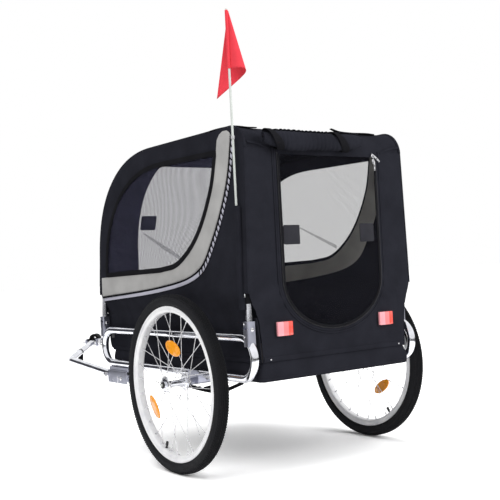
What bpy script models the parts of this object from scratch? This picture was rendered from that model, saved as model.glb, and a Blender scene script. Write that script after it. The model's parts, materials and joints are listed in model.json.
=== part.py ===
"""Two-wheeled bicycle trailer with a folding cloth cabin.

Everything is placed in the axle frame: X to the trailer's right, Y forward, Z up, with the wheel
axle at Y = 0 and Z = AXLE_Z. The root empty moves that frame so that the origin is in the middle of
the trailer's footprint, on the ground.
"""

import math

import bmesh
import bpy
from mathutils import Matrix, Vector

# Placing of the axle frame, and the small gap that touching pieces keep.
AXLE_Y = -0.3601
GAP = 0.0003
WELD = 1e-6

# Wheels: 20 inch, narrow tyre, quick-release axle.
AXLE_Z = 0.252
WHEEL_X = 0.342
WHEEL_R = 0.2395
RIM_R = 0.2085
RIM_INNER_R = 0.1905
RIM_HALF = 0.0135
WHEEL_STEPS = 36
SPOKES = 28
# For each wheel: the gap between spokes that its valve stands in, and where its upper and lower
# reflectors sit, in degrees round the wheel's own frame.
WHEEL_TURNS = {"left": (12, -15, 126), "right": (-3, 113, -28)}
SPOKE_R = 0.00095
SPOKE_HOLE_R = 0.0175
SPOKE_CROSSING = math.radians(51.43)
FLANGE_HALF = 0.030
FLANGE_R = 0.021
SPOKE_OFFSET = 0.0016
NIPPLE_R = 0.0019
NIPPLE_LENGTH = 0.011
AXLE_R = 0.006
HUB_BORE_R = 0.0063
VALVE_R = 0.0042

# Lower frame: one closed loop of tube on each side, and the axle tube right under their lower rails.
LOOP_X = 0.273
LOOP_TUBE_R = 0.011
RAIL_TOP_Z = 0.376
RAIL_LOW_Z = 0.273
LOOP_REAR_Y = -0.276
LOOP_FRONT_Y = 0.545
AXLE_TUBE_R = 0.0095
AXLE_TUBE_HALF = 0.296
CROSS_TUBE_R = 0.008
CROSS_TUBE_Z = 0.2745
CROSS_TUBE_YS = {"rear_cross_tube": -0.215, "front_cross_tube": 0.455}

# Folding side frames: a bent tube on each side, hinged in a bracket at each end. The right one is
# nested inside the left one, so that the two pass each other as they fold.
PIVOT_Z = 0.398
HOOP_TUBE_R = 0.0085
HOOP_TOP_Z = 0.894
HOOP_TOP_X = 0.258
HOOP_END = 0.0055
HOOP_STRAIGHT_Z = 0.430
NESTING = 0.026
LEFT_REAR_UPRIGHT_Y = -0.2605
LEFT_FRONT_UPRIGHT_Y = 0.538
HOOP_REAR_BEND = 0.050
ARCH_CENTRE = (0.20, 0.60)
HOOP_ARCH = (0.328, 0.294)
ARCH_POWER = 2.3

# Fold brackets, of folded sheet.
BRACKET_LOW_Z = 0.355
BRACKET_TOP_Z = 0.418
BRACKET_WALL = 0.002
BRACKET_OUT = 0.013
BRACKET_IN = 0.009
BRACKET_HALF_Y = 0.0115
FOLD_PIN_R = 0.003

# Cloth cabin. Its side skins stand at half the cabin's width, which changes with height.
CLOTH = 0.0025
SKIN_LEVELS = ((0.3125, 0.2485), (0.360, 0.250), (0.400, 0.253), (0.430, 0.258), (0.460, 0.272),
               (0.487, 0.282), (0.905, 0.2695), (1.0, 0.2695))
SKIN_INSET = 0.003
REAR_WALL_Y = -0.272
ROOF_Z = 0.912
ROOF_BEND = 0.060
SKIN_ARCH = (0.341, 0.312)
TUB_HALF = 0.248
TUB_LOW_Z = 0.2627
HEM_Z = 0.3125
TUB_FRONT_Y = 0.504
NOTCH_Z = (0.425, 0.487)
NOTCH_DEPTH = 0.0145
FLOOR_Z = 0.283
FLOOR_BOARD = 0.005

# Rear doorway: straight sides over half an ellipse.
DOOR_HALF = 0.168
DOOR_TOP_Z = 0.838
DOOR_BEND_Z = 0.515
DOOR_BEND_DEPTH = 0.130
DOOR_LAP = 0.004
DOOR_BORDER = 0.010
DOOR_DEPTH = 0.0052

# Tow arm and hitch.
TOW_PIVOT = (-LOOP_X, 0.420, 0.2285)
TOW_CORNER = (-LOOP_X, 0.817, 0.264)
TOW_END = (-0.105, 0.985, 0.3045)
TOW_TUBE_R = 0.011
TOW_BEND = 0.045
TOW_TAIL = 0.012
TOW_BRACKET_YS = (0.385, 0.508)
LOCK_PIN_Y = 0.513
BOLT_R = 0.004
BOLT_HOLE_R = 0.0043
HITCH_BACK = 0.014

# Flag, on a rod that stands in a pocket at the rear left corner.
POLE_X = -0.2865
POLE_Y = -0.250
POLE_R = 0.003
POLE_Z = (0.455, 1.205)
FLAG_HOIST_Z = (1.052, 1.200)
# How far the pennant's cloth is tilted from plumb as it goes round, in degrees: across and away.
FLAG_TILTS = ((0, 0), (6, -3), (11.5, -2), (14, 3), (12, 9), (4, 13.5), (-10.5, 15))

FINISHES = {
    "polished_aluminium": ((0.80, 0.81, 0.83), 1.0, 0.25),
    "zinc_steel": ((0.72, 0.73, 0.75), 1.0, 0.35),
    "black_cloth": ((0.022, 0.023, 0.028), 0.0, 0.85),
    "grey_cloth": ((0.42, 0.42, 0.40), 0.0, 0.75),
    "mesh_cloth": ((0.10, 0.10, 0.11), 0.0, 0.80),
    "rubber": ((0.018, 0.018, 0.018), 0.0, 0.80),
    "black_plastic": ((0.015, 0.015, 0.016), 0.0, 0.45),
    "board": ((0.10, 0.09, 0.08), 0.0, 0.70),
    "orange_plastic": ((0.90, 0.32, 0.01), 0.0, 0.25),
    "red_plastic": ((0.75, 0.02, 0.02), 0.0, 0.20),
    "red_cloth": ((0.80, 0.02, 0.02), 0.0, 0.60),
    "white_rod": ((0.85, 0.85, 0.84), 0.0, 0.40),
    "webbing": ((0.02, 0.02, 0.02), 0.0, 0.85),
}

SIDES = {"left": -1, "right": 1}


def clear_scene():
    for obj in list(bpy.data.objects):
        bpy.data.objects.remove(obj, do_unlink=True)


def new_collection(name):
    collection = bpy.data.collections.new(name)
    bpy.context.scene.collection.children.link(collection)
    return collection


def finish_of(name):
    """The Principled material of this finish, made once."""
    material = bpy.data.materials.get(name)
    if material:
        return material
    colour, metallic, roughness = FINISHES[name]
    material = bpy.data.materials.new(name)
    material.use_nodes = True
    shader = material.node_tree.nodes["Principled BSDF"]
    shader.inputs["Base Color"].default_value = (*colour, 1.0)
    shader.inputs["Metallic"].default_value = metallic
    shader.inputs["Roughness"].default_value = roughness
    return material


clear_scene()
PARTS = new_collection("bicycle_trailer")
CUTTERS = new_collection("cutters")
ROOT = bpy.data.objects.new("trailer_root", None)
ROOT.location = (0, AXLE_Y, WHEEL_R - AXLE_Z)
PARTS.objects.link(ROOT)
PLACES = {ROOT.name: Vector((0, 0, 0))}


def pivot(name, at, parent=ROOT, turn=(0, 0, 0)):
    """An empty at a point of the axle frame, on the axis of what hangs on it."""
    empty = bpy.data.objects.new(name, None)
    empty.parent = parent
    empty.location = Vector(at) - PLACES[parent.name]
    empty.rotation_euler = turn
    PARTS.objects.link(empty)
    PLACES[name] = Vector(at)
    return empty


def hang(obj, empty):
    """Parents an object made in the axle frame to an unturned empty, and leaves it where it is."""
    obj.parent = empty
    obj.matrix_parent_inverse = Matrix.Translation(-PLACES[empty.name])
    return obj


def keep(obj, finish=None, parent=ROOT):
    """Puts an object in the trailer, or with no finish among the cutters."""
    obj.parent = parent
    if finish is None:
        CUTTERS.objects.link(obj)
        obj.hide_render = True
        obj.display_type = "WIRE"
        return obj
    PARTS.objects.link(obj)
    obj.data.materials.clear()
    obj.data.materials.append(finish_of(finish))
    return obj


def shade(mesh, angle=math.radians(35)):
    mesh.shade_smooth()
    mesh.set_sharp_from_angle(angle=angle)


def object_of(name, bm, finish=None, parent=ROOT):
    """An object of this mesh, with its faces turned outwards."""
    bmesh.ops.recalc_face_normals(bm, faces=bm.faces)
    if bm.calc_volume(signed=True) < 0:
        bmesh.ops.reverse_faces(bm, faces=bm.faces)
    mesh = bpy.data.meshes.new(name)
    bm.to_mesh(mesh)
    bm.free()
    shade(mesh)
    return keep(bpy.data.objects.new(name, mesh), finish, parent)


def curve_of(name, splines, radius, resolution, cyclic):
    """A round tube along each spline, a list of points or of (point, radius factor)."""
    curve = bpy.data.curves.new(name, "CURVE")
    curve.dimensions = "3D"
    curve.bevel_depth = radius
    curve.bevel_resolution = resolution
    curve.use_fill_caps = True
    for points in splines:
        spline = curve.splines.new("POLY")
        spline.points.add(len(points) - 1)
        spline.use_cyclic_u = cyclic
        spline.use_smooth = True
        for slot, point in zip(spline.points, points):
            place, factor = point if len(point) == 2 else (point, 1.0)
            slot.co = (*place, 1.0)
            slot.radius = factor
    return bpy.data.objects.new(name, curve)


def tube(name, points, radius, finish, resolution=3, cyclic=False, parent=ROOT):
    return keep(curve_of(name, [points], radius, resolution, cyclic), finish, parent)


def solid_mesh(obj):
    """The mesh of a curve object, with its caps welded on, as a new mesh. The curve is removed."""
    mesh = bpy.data.meshes.new_from_object(obj)
    bm = bmesh.new()
    bm.from_mesh(mesh)
    bmesh.ops.remove_doubles(bm, verts=bm.verts, dist=WELD)
    bmesh.ops.recalc_face_normals(bm, faces=bm.faces)
    bm.to_mesh(mesh)
    bm.free()
    bpy.data.objects.remove(obj, do_unlink=True)
    shade(mesh)
    return mesh


def mesh_tube(name, points, radius, finish=None, resolution=3, cyclic=False, parent=ROOT):
    """A tube as a mesh, for pieces that are cut, joined or used as cutters."""
    mesh = solid_mesh(curve_of(name, [points], radius, resolution, cyclic))
    return keep(bpy.data.objects.new(name, mesh), finish, parent)


def turned(name, profile, finish=None, steps=24, parent=ROOT):
    """A (radius, height) profile spun about the object's Z, from the top down its outer side."""
    count = len(profile)
    edges = [(i, i + 1) for i in range(count - 1)]
    if profile[0][0] > 0:
        edges.append((count - 1, 0))
    mesh = bpy.data.meshes.new(name)
    mesh.from_pydata([(r, 0, h) for r, h in profile], edges, [])
    obj = bpy.data.objects.new(name, mesh)
    screw = obj.modifiers.new("spin", "SCREW")
    screw.axis = "Z"
    screw.steps = steps
    screw.render_steps = steps
    screw.use_merge_vertices = True
    screw.merge_threshold = 1e-5
    screw.use_smooth_shade = True
    return keep(obj, finish, parent)


def cylinder(name, radius, length, centre, axis, finish=None, steps=16, parent=ROOT):
    bm = bmesh.new()
    bmesh.ops.create_cone(bm, cap_ends=True, segments=steps, radius1=radius, radius2=radius,
                          depth=length)
    turn = Vector((0, 0, 1)).rotation_difference(Vector(axis)).to_matrix().to_4x4()
    bm.transform(Matrix.Translation(centre) @ turn)
    return object_of(name, bm, finish, parent)


def block(name, low, high, finish=None, bevel=0.0, parent=ROOT):
    """A box between two corners, with its edges rounded by a Bevel modifier."""
    low, high = Vector(low), Vector(high)
    bm = bmesh.new()
    bmesh.ops.create_cube(bm, size=1.0)
    bm.transform(Matrix.Translation((low + high) / 2) @ Matrix.Diagonal((*(high - low), 1.0)))
    obj = object_of(name, bm, finish, parent)
    if bevel:
        rounded(obj, bevel)
    return obj


def rounded(obj, width, segments=2):
    bevel = obj.modifiers.new("edges", "BEVEL")
    bevel.width = width
    bevel.segments = segments
    bevel.limit_method = "ANGLE"
    return obj


def boolean(obj, other, operation="DIFFERENCE", crossing=False):
    modifier = obj.modifiers.new(operation.lower(), "BOOLEAN")
    modifier.operation = operation
    modifier.solver = "EXACT"
    modifier.use_self = crossing
    modifier.object = other
    return obj


def flat(name, outline, thickness, holes=()):
    """A flat sheet in XY with this outline and holes, as a bmesh centred on Z = 0."""
    curve = bpy.data.curves.new(name, "CURVE")
    curve.dimensions = "2D"
    curve.fill_mode = "BOTH"
    curve.extrude = thickness / 2
    for points in (outline, *holes):
        spline = curve.splines.new("POLY")
        spline.points.add(len(points) - 1)
        spline.use_cyclic_u = True
        for slot, (x, y) in zip(spline.points, points):
            slot.co = (x, y, 0, 1)
    sheet = bpy.data.objects.new(name, curve)
    mesh = bpy.data.meshes.new_from_object(sheet)
    bpy.data.objects.remove(sheet, do_unlink=True)
    bm = bmesh.new()
    bm.from_mesh(mesh)
    bmesh.ops.remove_doubles(bm, verts=bm.verts, dist=WELD)
    return bm


def arc(centre, radius, start, end, count):
    """Points on an arc between two angles in degrees. Radius may be a pair of semi-axes."""
    a, b = radius if isinstance(radius, tuple) else (radius, radius)
    steps = [math.radians(start + (end - start) * i / count) for i in range(count + 1)]
    return [(centre[0] + a * math.cos(t), centre[1] + b * math.sin(t)) for t in steps]


def super_arc(centre, axes, start, end, count):
    """The same on a superellipse, which is the squarer form of the cabin's front arch."""
    points = []
    for i in range(count + 1):
        t = math.radians(start + (end - start) * i / count)
        across, up = abs(math.cos(t)), abs(math.sin(t))
        points.append((centre[0] + axes[0] * across ** (2 / ARCH_POWER),
                       centre[1] + axes[1] * up ** (2 / ARCH_POWER)))
    return points


def smooth(points, steps=4):
    """A Catmull-Rom curve through the points."""
    points = [Vector(p) for p in points]
    ends = [2 * points[0] - points[1], *points, 2 * points[-1] - points[-2]]
    found = []
    for a, b, c, d in zip(ends, ends[1:], ends[2:], ends[3:]):
        for i in range(steps):
            t = i / steps
            found.append(tuple(0.5 * (2 * b + (c - a) * t + (2 * a - 5 * b + 4 * c - d) * t * t
                                      + (3 * b - a - 3 * c + d) * t ** 3)))
    return [*found, tuple(points[-1])]


def filleted(corners, radius, count=6):
    """A path through corners in space, each inner one rounded to this radius."""
    corners = [Vector(c) for c in corners]
    path = [corners[0]]
    for before, corner, after in zip(corners, corners[1:], corners[2:]):
        back = (before - corner).normalized()
        ahead = (after - corner).normalized()
        half = back.angle(ahead) / 2
        centre = corner + (back + ahead).normalized() * radius / math.sin(half)
        start = corner + back * radius / math.tan(half) - centre
        end = corner + ahead * radius / math.tan(half) - centre
        path += [centre + start.slerp(end, i / count).normalized() * radius
                 for i in range(count + 1)]
    return [tuple(p) for p in (*path, corners[-1])]


def skin_x(z):
    """Half the cabin's outer width at this height."""
    for (low, x_low), (high, x_high) in zip(SKIN_LEVELS, SKIN_LEVELS[1:]):
        if z <= high:
            share = max(0.0, (z - low) / (high - low))
            return x_low + (x_high - x_low) * share
    return SKIN_LEVELS[-1][1]


def drape(name, side, outline, thickness, outer, finish, holes=()):
    """A sheet on the cabin's side, outlined in (y, z), with its outer face this far off the skin."""
    bm = flat(name, outline, thickness, holes)
    for level, _ in SKIN_LEVELS[1:-2]:
        every = bm.verts[:] + bm.edges[:] + bm.faces[:]
        bmesh.ops.bisect_plane(bm, geom=every, plane_co=(0, level, 0), plane_no=(0, 1, 0))
    for vert in bm.verts:
        y, z, off = vert.co
        vert.co = (side * (skin_x(z) + outer - thickness / 2 + off), y, z)
    return object_of(name, bm, finish)


def upright_panel(name, outline, y_low, y_high, finish=None, holes=()):
    """A flat panel across the trailer, outlined in (x, z)."""
    bm = flat(name, outline, y_high - y_low, holes)
    for vert in bm.verts:
        x, z, off = vert.co
        vert.co = (x, (y_low + y_high) / 2 + off, z)
    return object_of(name, bm, finish)


def mirrored(outline):
    """An outline's right half, given from the bottom up, with its mirror image added."""
    return [*outline, *[(-x, z) for x, z in reversed(outline)]]


def loop_path(side):
    """The side loop's centre line: two rails with half circles between them."""
    radius = (RAIL_TOP_Z - RAIL_LOW_Z) / 2
    middle = (RAIL_TOP_Z + RAIL_LOW_Z) / 2
    front = arc((LOOP_FRONT_Y - radius, middle), radius, -90, 90, 10)
    rear = arc((LOOP_REAR_Y + radius, middle), radius, 90, 270, 10)
    return [(side * LOOP_X, y, z) for y, z in (*front, *rear)]


def hoop_x(z):
    """A side frame leans in a little towards the roof."""
    return LOOP_X + (HOOP_TOP_X - LOOP_X) * (z - PIVOT_Z) / (HOOP_TOP_Z - PIVOT_Z)


def upright_ys(side):
    """Where a side frame's two ends are hinged."""
    inset = 0 if side < 0 else NESTING
    return LEFT_REAR_UPRIGHT_Y + inset, LEFT_FRONT_UPRIGHT_Y - inset


def hoop_path(side):
    """Rear upright, bend, roof rail, front arch and front upright, as one centre line."""
    rear_y, front_y = upright_ys(side)
    inset = 0 if side < 0 else NESTING
    bend = (rear_y + HOOP_REAR_BEND, HOOP_TOP_Z - HOOP_REAR_BEND)
    line = [(rear_y, PIVOT_Z - HOOP_END)]
    line += arc(bend, HOOP_REAR_BEND, 180, 90, 5)
    line += super_arc(ARCH_CENTRE, (HOOP_ARCH[0] - inset, HOOP_ARCH[1]), 90, 0, 11)
    line += [(front_y, HOOP_STRAIGHT_Z), (front_y, PIVOT_Z - HOOP_END)]
    return [(side * hoop_x(z), y, z) for y, z in line]


def make_loops():
    cutters = {}
    for word, side in SIDES.items():
        tube(f"{word}_loop", loop_path(side), LOOP_TUBE_R, "polished_aluminium", cyclic=True)
        cutters[side] = mesh_tube(f"{word}_loop_seat", loop_path(side), LOOP_TUBE_R + GAP,
                                  cyclic=True)
    return cutters


def make_axle_tube():
    bore = AXLE_R + GAP
    profile = [(bore, AXLE_TUBE_HALF), (AXLE_TUBE_R, AXLE_TUBE_HALF),
               (AXLE_TUBE_R, -AXLE_TUBE_HALF), (bore, -AXLE_TUBE_HALF)]
    axle = turned("axle_tube", profile, "zinc_steel", steps=16)
    axle.location = (0, 0, AXLE_Z)
    axle.rotation_euler = (0, math.radians(90), 0)


def make_axle_clamps(seats):
    """The saddle that holds the axle tube up against each lower rail."""
    half_x, half_y, low_z, high_z = 0.012, 0.018, 0.2375, 0.2905
    seat = cylinder("axle_seat", AXLE_TUBE_R + GAP, 0.7, (0, 0, AXLE_Z), (1, 0, 0))
    for word, side in SIDES.items():
        x = side * LOOP_X
        clamp = block(f"{word}_axle_clamp", (x - half_x, -half_y, low_z),
                      (x + half_x, half_y, high_z), "zinc_steel", bevel=0.003)
        boolean(clamp, seat)
        boolean(clamp, seats[side])


def make_cross_tubes():
    """Two tubes between the lower rails, which carry the floor board."""
    seats = []
    reach = LOOP_X - LOOP_TUBE_R - GAP
    for name, y in CROSS_TUBE_YS.items():
        cylinder(name, CROSS_TUBE_R, 2 * reach, (0, y, CROSS_TUBE_Z), (1, 0, 0),
                 "polished_aluminium")
        seats.append(cylinder(f"{name}_hole", CROSS_TUBE_R + GAP, 2 * reach,
                              (0, y, CROSS_TUBE_Z), (1, 0, 0)))
    return seats


def make_fold_brackets(seats):
    """A folded channel at each end of each side frame, open inwards, with its hinge pin."""
    for word, side in SIDES.items():
        for place, y in zip(("rear", "front"), upright_ys(side)):
            fold_bracket(f"{place}_{word}", side, y, seats[side])


def fold_bracket(name, side, y, seat):
    out, into = BRACKET_OUT, -BRACKET_IN
    wall, half = BRACKET_WALL, BRACKET_HALF_Y
    outline = [(into, -half), (out, -half), (out, half), (into, half), (into, half - wall),
               (out - wall, half - wall), (out - wall, wall - half), (into, wall - half)]
    low_z = BRACKET_LOW_Z if side < 0 else RAIL_TOP_Z - 0.004
    bm = flat(name, [(side * x, v) for x, v in outline], BRACKET_TOP_Z - low_z)
    bm.transform(Matrix.Translation((side * LOOP_X, y, (low_z + BRACKET_TOP_Z) / 2)))
    bracket = object_of(f"{name}_fold_bracket", bm, "zinc_steel")
    slot_x = side * (LOOP_X + out)
    slot = block(f"{name}_slot", (slot_x - 0.004, y - 0.002, PIVOT_Z - 0.006),
                 (slot_x + 0.004, y + 0.002, PIVOT_Z + 0.014))
    centre = (side * LOOP_X, y, PIVOT_Z)
    hole = cylinder(f"{name}_pin_hole", FOLD_PIN_R + GAP, 0.04, centre, (0, 1, 0), steps=12)
    for cutter in (seat, slot, hole):
        boolean(bracket, cutter)
    grip, head_r, head = half + GAP, 0.0052, 0.0018
    profile = [(0, grip + head), (head_r, grip + head * 0.5), (head_r, grip), (FOLD_PIN_R, grip),
               (FOLD_PIN_R, -grip), (head_r, -grip), (head_r, -grip - head * 0.5),
               (0, -grip - head)]
    pin = turned(f"{name}_fold_pin", profile, "zinc_steel", steps=12)
    pin.location = centre
    pin.rotation_euler = (math.radians(90), 0, 0)


def make_side_frames():
    frames = {}
    for word, side in SIDES.items():
        frame = pivot(f"{word}_fold_axis", (side * LOOP_X, 0, PIVOT_Z))
        hoop = mesh_tube(f"{word}_side_frame", hoop_path(side), HOOP_TUBE_R, "polished_aluminium")
        for y in upright_ys(side):
            centre = (side * LOOP_X, y, PIVOT_Z)
            hole = cylinder(f"{word}_frame_hole", FOLD_PIN_R + GAP, 0.04, centre, (0, 1, 0),
                            steps=12)
            boolean(hoop, hole)
        frames[side] = hang(hoop, frame)
    return frames


def wheel_axes():
    """An empty at each wheel's centre, with its Z pointing outboard."""
    return {word: pivot(f"{word}_wheel_axis", (side * WHEEL_X, 0, AXLE_Z),
                        turn=(0, side * math.radians(90), 0))
            for word, side in SIDES.items()}


def both_ways(half):
    """A profile's upper half, from its top to the middle, with its mirror image added."""
    return [*half, *[(r, -h) for r, h in reversed(half)]]


def tyre_profile():
    """Bead, sidewall, shoulder and a ribbed tread outside, and the casing's hollow inside."""
    outside = both_ways([(0.2015, 0.0114), (0.2093, 0.0114), (0.2135, 0.0162), (0.2220, 0.0188),
                         (0.2315, 0.0172), (0.2360, 0.0150), (0.2380, 0.0095), (0.2358, 0.0085),
                         (0.2364, 0.0046), (WHEEL_R, 0.0038)])
    inside = both_ways([(0.2015, 0.0094), (0.2095, 0.0094), (0.2145, 0.0138), (0.2225, 0.0162),
                        (0.2312, 0.0125)])
    return [*outside, *inside[::-1]]


def rim_profile():
    """Hooked flanges with the tyre's well between them, on a box section."""
    well = both_ways([(RIM_R, RIM_HALF), (RIM_R, 0.0118), (0.2004, 0.0118), (0.1985, 0.0060)])
    inner = both_ways([(0.1990, RIM_HALF), (RIM_INNER_R, 0.0095)])
    return [*well, *inner[::-1]]


def make_wheel(word, axis):
    turned(f"{word}_tyre", tyre_profile(), "rubber", WHEEL_STEPS, axis)
    spoke_gap, upper, lower = WHEEL_TURNS[word]
    valve_angle = math.tau / SPOKES * (spoke_gap + 0.5)
    make_rim(word, axis, valve_angle)
    make_inner_tube(word, axis, valve_angle)
    make_hub(word, axis)
    for place, angle in (("upper", upper), ("lower", lower)):
        spoke_reflector(f"{word}_{place}_reflector", math.radians(angle), axis)
    make_axle(word, axis)


def make_rim(word, axis, valve_angle):
    rim = turned(f"{word}_rim", rim_profile(), "polished_aluminium", WHEEL_STEPS, axis)
    out = Vector((math.cos(valve_angle), math.sin(valve_angle), 0))
    hole = cylinder(f"{word}_valve_hole", VALVE_R + GAP, 0.03, out * 0.196, out, steps=12,
                    parent=axis)
    boolean(rim, hole)


def make_inner_tube(word, axis, valve_angle):
    """The air tube, with its valve stem reaching in through the rim."""
    centre_r, across, up = 0.2195, 0.0132, 0.0106
    ring = arc((centre_r, 0), (up, across), 90, -270, 10)[:-1]
    air = turned(f"{word}_inner_tube", ring, "rubber", 24, axis)
    out = Vector((math.cos(valve_angle), math.sin(valve_angle), 0))
    start, end = 0.1720, 0.2150
    stem = cylinder(f"{word}_valve_stem", VALVE_R, end - start, out * (start + end) / 2, out,
                    steps=12, parent=axis)
    boolean(air, stem, "UNION")


def spoke_line(index):
    """One spoke from its flange hole to its nipple at the rim, in the wheel's own frame."""
    flange = 1 if index % 2 == 0 else -1
    pair = index // 2
    lead = 1 if pair % 2 == 0 else -1
    hole_angle = index * math.tau / SPOKES
    rim_angle = hole_angle + lead * SPOKE_CROSSING
    start_z = flange * (FLANGE_HALF + lead * SPOKE_OFFSET)
    start = Vector((SPOKE_HOLE_R * math.cos(hole_angle), SPOKE_HOLE_R * math.sin(hole_angle),
                    start_z))
    end_r = RIM_INNER_R - 0.0018
    end = Vector((end_r * math.cos(rim_angle), end_r * math.sin(rim_angle), flange * 0.003))
    along = (end - start).normalized()
    collar = end - along * NIPPLE_LENGTH
    thick = NIPPLE_R / SPOKE_R
    return [(tuple(start), 1.0), (tuple(collar), 1.0), (tuple(collar + along * 0.0008), thick),
            (tuple(end), thick)]


def make_hub(word, axis):
    """Hub shell with two drilled flanges, and the laced spokes joined to it."""
    face, plate = FLANGE_HALF + 0.0012, FLANGE_HALF - 0.0012
    shell = both_ways([(HUB_BORE_R, 0.036), (0.0095, 0.036), (0.0095, face), (FLANGE_R, face),
                       (FLANGE_R, plate), (0.0115, plate), (0.0085, 0.018)])
    hub = turned(f"{word}_hub_and_spokes", shell, "polished_aluminium", 16, axis)
    lines = [spoke_line(index) for index in range(SPOKES)]
    mesh = solid_mesh(curve_of(f"{word}_spokes", lines, SPOKE_R, 1, False))
    spokes = keep(bpy.data.objects.new(f"{word}_spokes", mesh), None, axis)
    boolean(hub, spokes, "UNION")


def spoke_reflector(name, angle, axis):
    """An oval reflector clipped on the outer face of the spokes, tilted as they are."""
    radius, lean = 0.098, math.radians(9.4)
    long_half, short_half, thick = 0.030, 0.015, 0.006
    height = 0.0316 - 0.0286 * (radius - SPOKE_HOLE_R) / 0.1725 + SPOKE_R + 0.0004 + thick / 2
    bm = flat(name, arc((0, 0), (long_half, short_half), 0, 360, 16)[:-1], thick)
    place = Matrix.Rotation(angle, 4, "Z") @ Matrix.Translation((radius, 0, height + 0.0006))
    tilt = Matrix.Rotation(lean, 4, "Y") @ Matrix.Rotation(math.radians(70), 4, "Z")
    bm.transform(place @ tilt)
    object_of(name, bm, "orange_plastic", axis)


def make_axle(word, axis):
    """Quick-release axle pin, with the push button in its outer end."""
    button_r, mouth, head = 0.0038, 0.0042, 0.0415
    pin = [(0, 0.028), (mouth, 0.028), (mouth, head), (0.0085, head), (0.0085, 0.0365),
           (AXLE_R, 0.0365), (AXLE_R, -0.0365), (0.0085, -0.0365), (0.0085, -0.0455),
           (AXLE_R, -0.0455), (AXLE_R, -0.100), (0.0045, -0.102), (0, -0.102)]
    turned(f"{word}_axle_pin", pin, "zinc_steel", 16, axis)
    button = [(0, 0.0440), (0.0026, 0.0438), (button_r, 0.0428), (button_r, 0.0325), (0, 0.0325)]
    turned(f"{word}_release_button", button, "white_rod", 12, axis)


def side_outline(side):
    """A side panel's outline in (y, z), from the hem round the roof and the front arch."""
    rear_y, front_y = upright_ys(side)
    low, high = NOTCH_Z
    rear_in, front_in = rear_y + NOTCH_DEPTH, front_y - NOTCH_DEPTH
    front_line = [(front_y_at(z), z) for z in (high, low, 0.405)]
    outline = [(REAR_WALL_Y, HEM_Z), (REAR_WALL_Y, low), (rear_in, low), (rear_in, high),
               (REAR_WALL_Y, high)]
    outline += arc((REAR_WALL_Y + ROOF_BEND, ROOF_Z - ROOF_BEND), ROOF_BEND, 180, 90, 6)
    outline += super_arc(ARCH_CENTRE, SKIN_ARCH, 90, 0, 14)
    outline += [front_line[0], (front_in, high), (front_in, low), *front_line[1:]]
    return [*outline, *FRONT_TUCK[1:]]


def front_y_at(z):
    """The front wall leans forward a little below the arch."""
    top_y, top_z = ARCH_CENTRE[0] + SKIN_ARCH[0], ARCH_CENTRE[1]
    return top_y + 0.0105 * (top_z - z) / (top_z - 0.405)


FRONT_TUCK = ((0.5515, 0.405), (0.545, 0.385), (0.530, 0.360), (0.513, 0.335),
              (TUB_FRONT_Y, HEM_Z))


def rear_edge_curve(shift=0.0):
    """The sweep of the side window's rear edge, down from the roof and forward."""
    points = [(-0.146, 0.852), (-0.119, 0.756), (-0.049, 0.646), (0.050, 0.575), (0.150, 0.558)]
    return smooth([(y - shift, z - shift) for y, z in points])


def window_outline(inset=0.0):
    """The side window, its rear and lower edges along the grey band."""
    low_z = 0.550 + inset
    rear = [(y, z) for y, z in rear_edge_curve(-inset)]
    front = super_arc((0.14, low_z), (0.348 - inset, 0.307 - 2 * inset), 90, 0, 12)
    top_z = front[0][1]
    rear[0] = (rear[0][0], top_z - 0.004)
    return [*front, *rear[::-1]]


def band_outline():
    """The grey band between the window and the reflective piping."""
    inner = rear_edge_curve(0.004)
    outer = smooth([(-0.226, 0.893), (-0.195, 0.764), (-0.125, 0.632), (-0.040, 0.545),
                    (0.163, 0.507), (0.526, 0.480)])
    return [(-0.150, 0.903), *inner, (0.526, 0.541), *outer[::-1]]


def make_side_panels():
    for word, side in SIDES.items():
        drape(f"{word}_side_panel", side, side_outline(side), CLOTH, 0, "black_cloth",
              holes=(window_outline(),))
        drape(f"{word}_window_mesh", side, window_outline(0.0005), 0.0012, -0.0006, "mesh_cloth")
        drape(f"{word}_grey_band", side, band_outline(), 0.0010, 0.0013, "grey_cloth")


def cover_line():
    """The roof and front cover's outer line in (y, z), in three stretches round the window."""
    rear = arc((REAR_WALL_Y + ROOF_BEND, ROOF_Z - ROOF_BEND), ROOF_BEND, 180, 90, 6)
    rear[0] = (rear[0][0], rear[0][1] + 3 * GAP)
    arch = super_arc(ARCH_CENTRE, SKIN_ARCH, 90, 0, 14)
    sill, below = [[(front_y_at(z), z) for z in levels] for levels in ((0.487, 0.47), (0.46, 0.43))]
    return [*rear, *arch[:6]], [*arch[5:], *sill], [sill[-1], *below, *FRONT_TUCK]


def strip(name, line, half_of, finish, thickness=CLOTH, skip=()):
    """A sheet across the trailer along a line in (y, z). Rows in skip lose their middle column."""
    bm = bmesh.new()
    rows = []
    for y, z in line:
        edge = half_of(z)
        inner = min(WINDOW_HALF, edge)
        xs = (-edge, -inner, inner, edge) if edge > inner else (-edge, edge)
        rows.append([bm.verts.new((x, y, z)) for x in xs])
    for index, (row, after) in enumerate(zip(rows, rows[1:])):
        for column in range(len(row) - 1):
            if index in skip and column == 1:
                continue
            bm.faces.new((row[column], row[column + 1], after[column + 1], after[column]))
    mesh = bpy.data.meshes.new(name)
    bm.to_mesh(mesh)
    bm.free()
    obj = keep(bpy.data.objects.new(name, mesh), finish)
    shell = obj.modifiers.new("cloth", "SOLIDIFY")
    shell.thickness = thickness
    shell.offset = -1.0
    shell.use_even_offset = True
    return obj


WINDOW_HALF = 0.155


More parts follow.
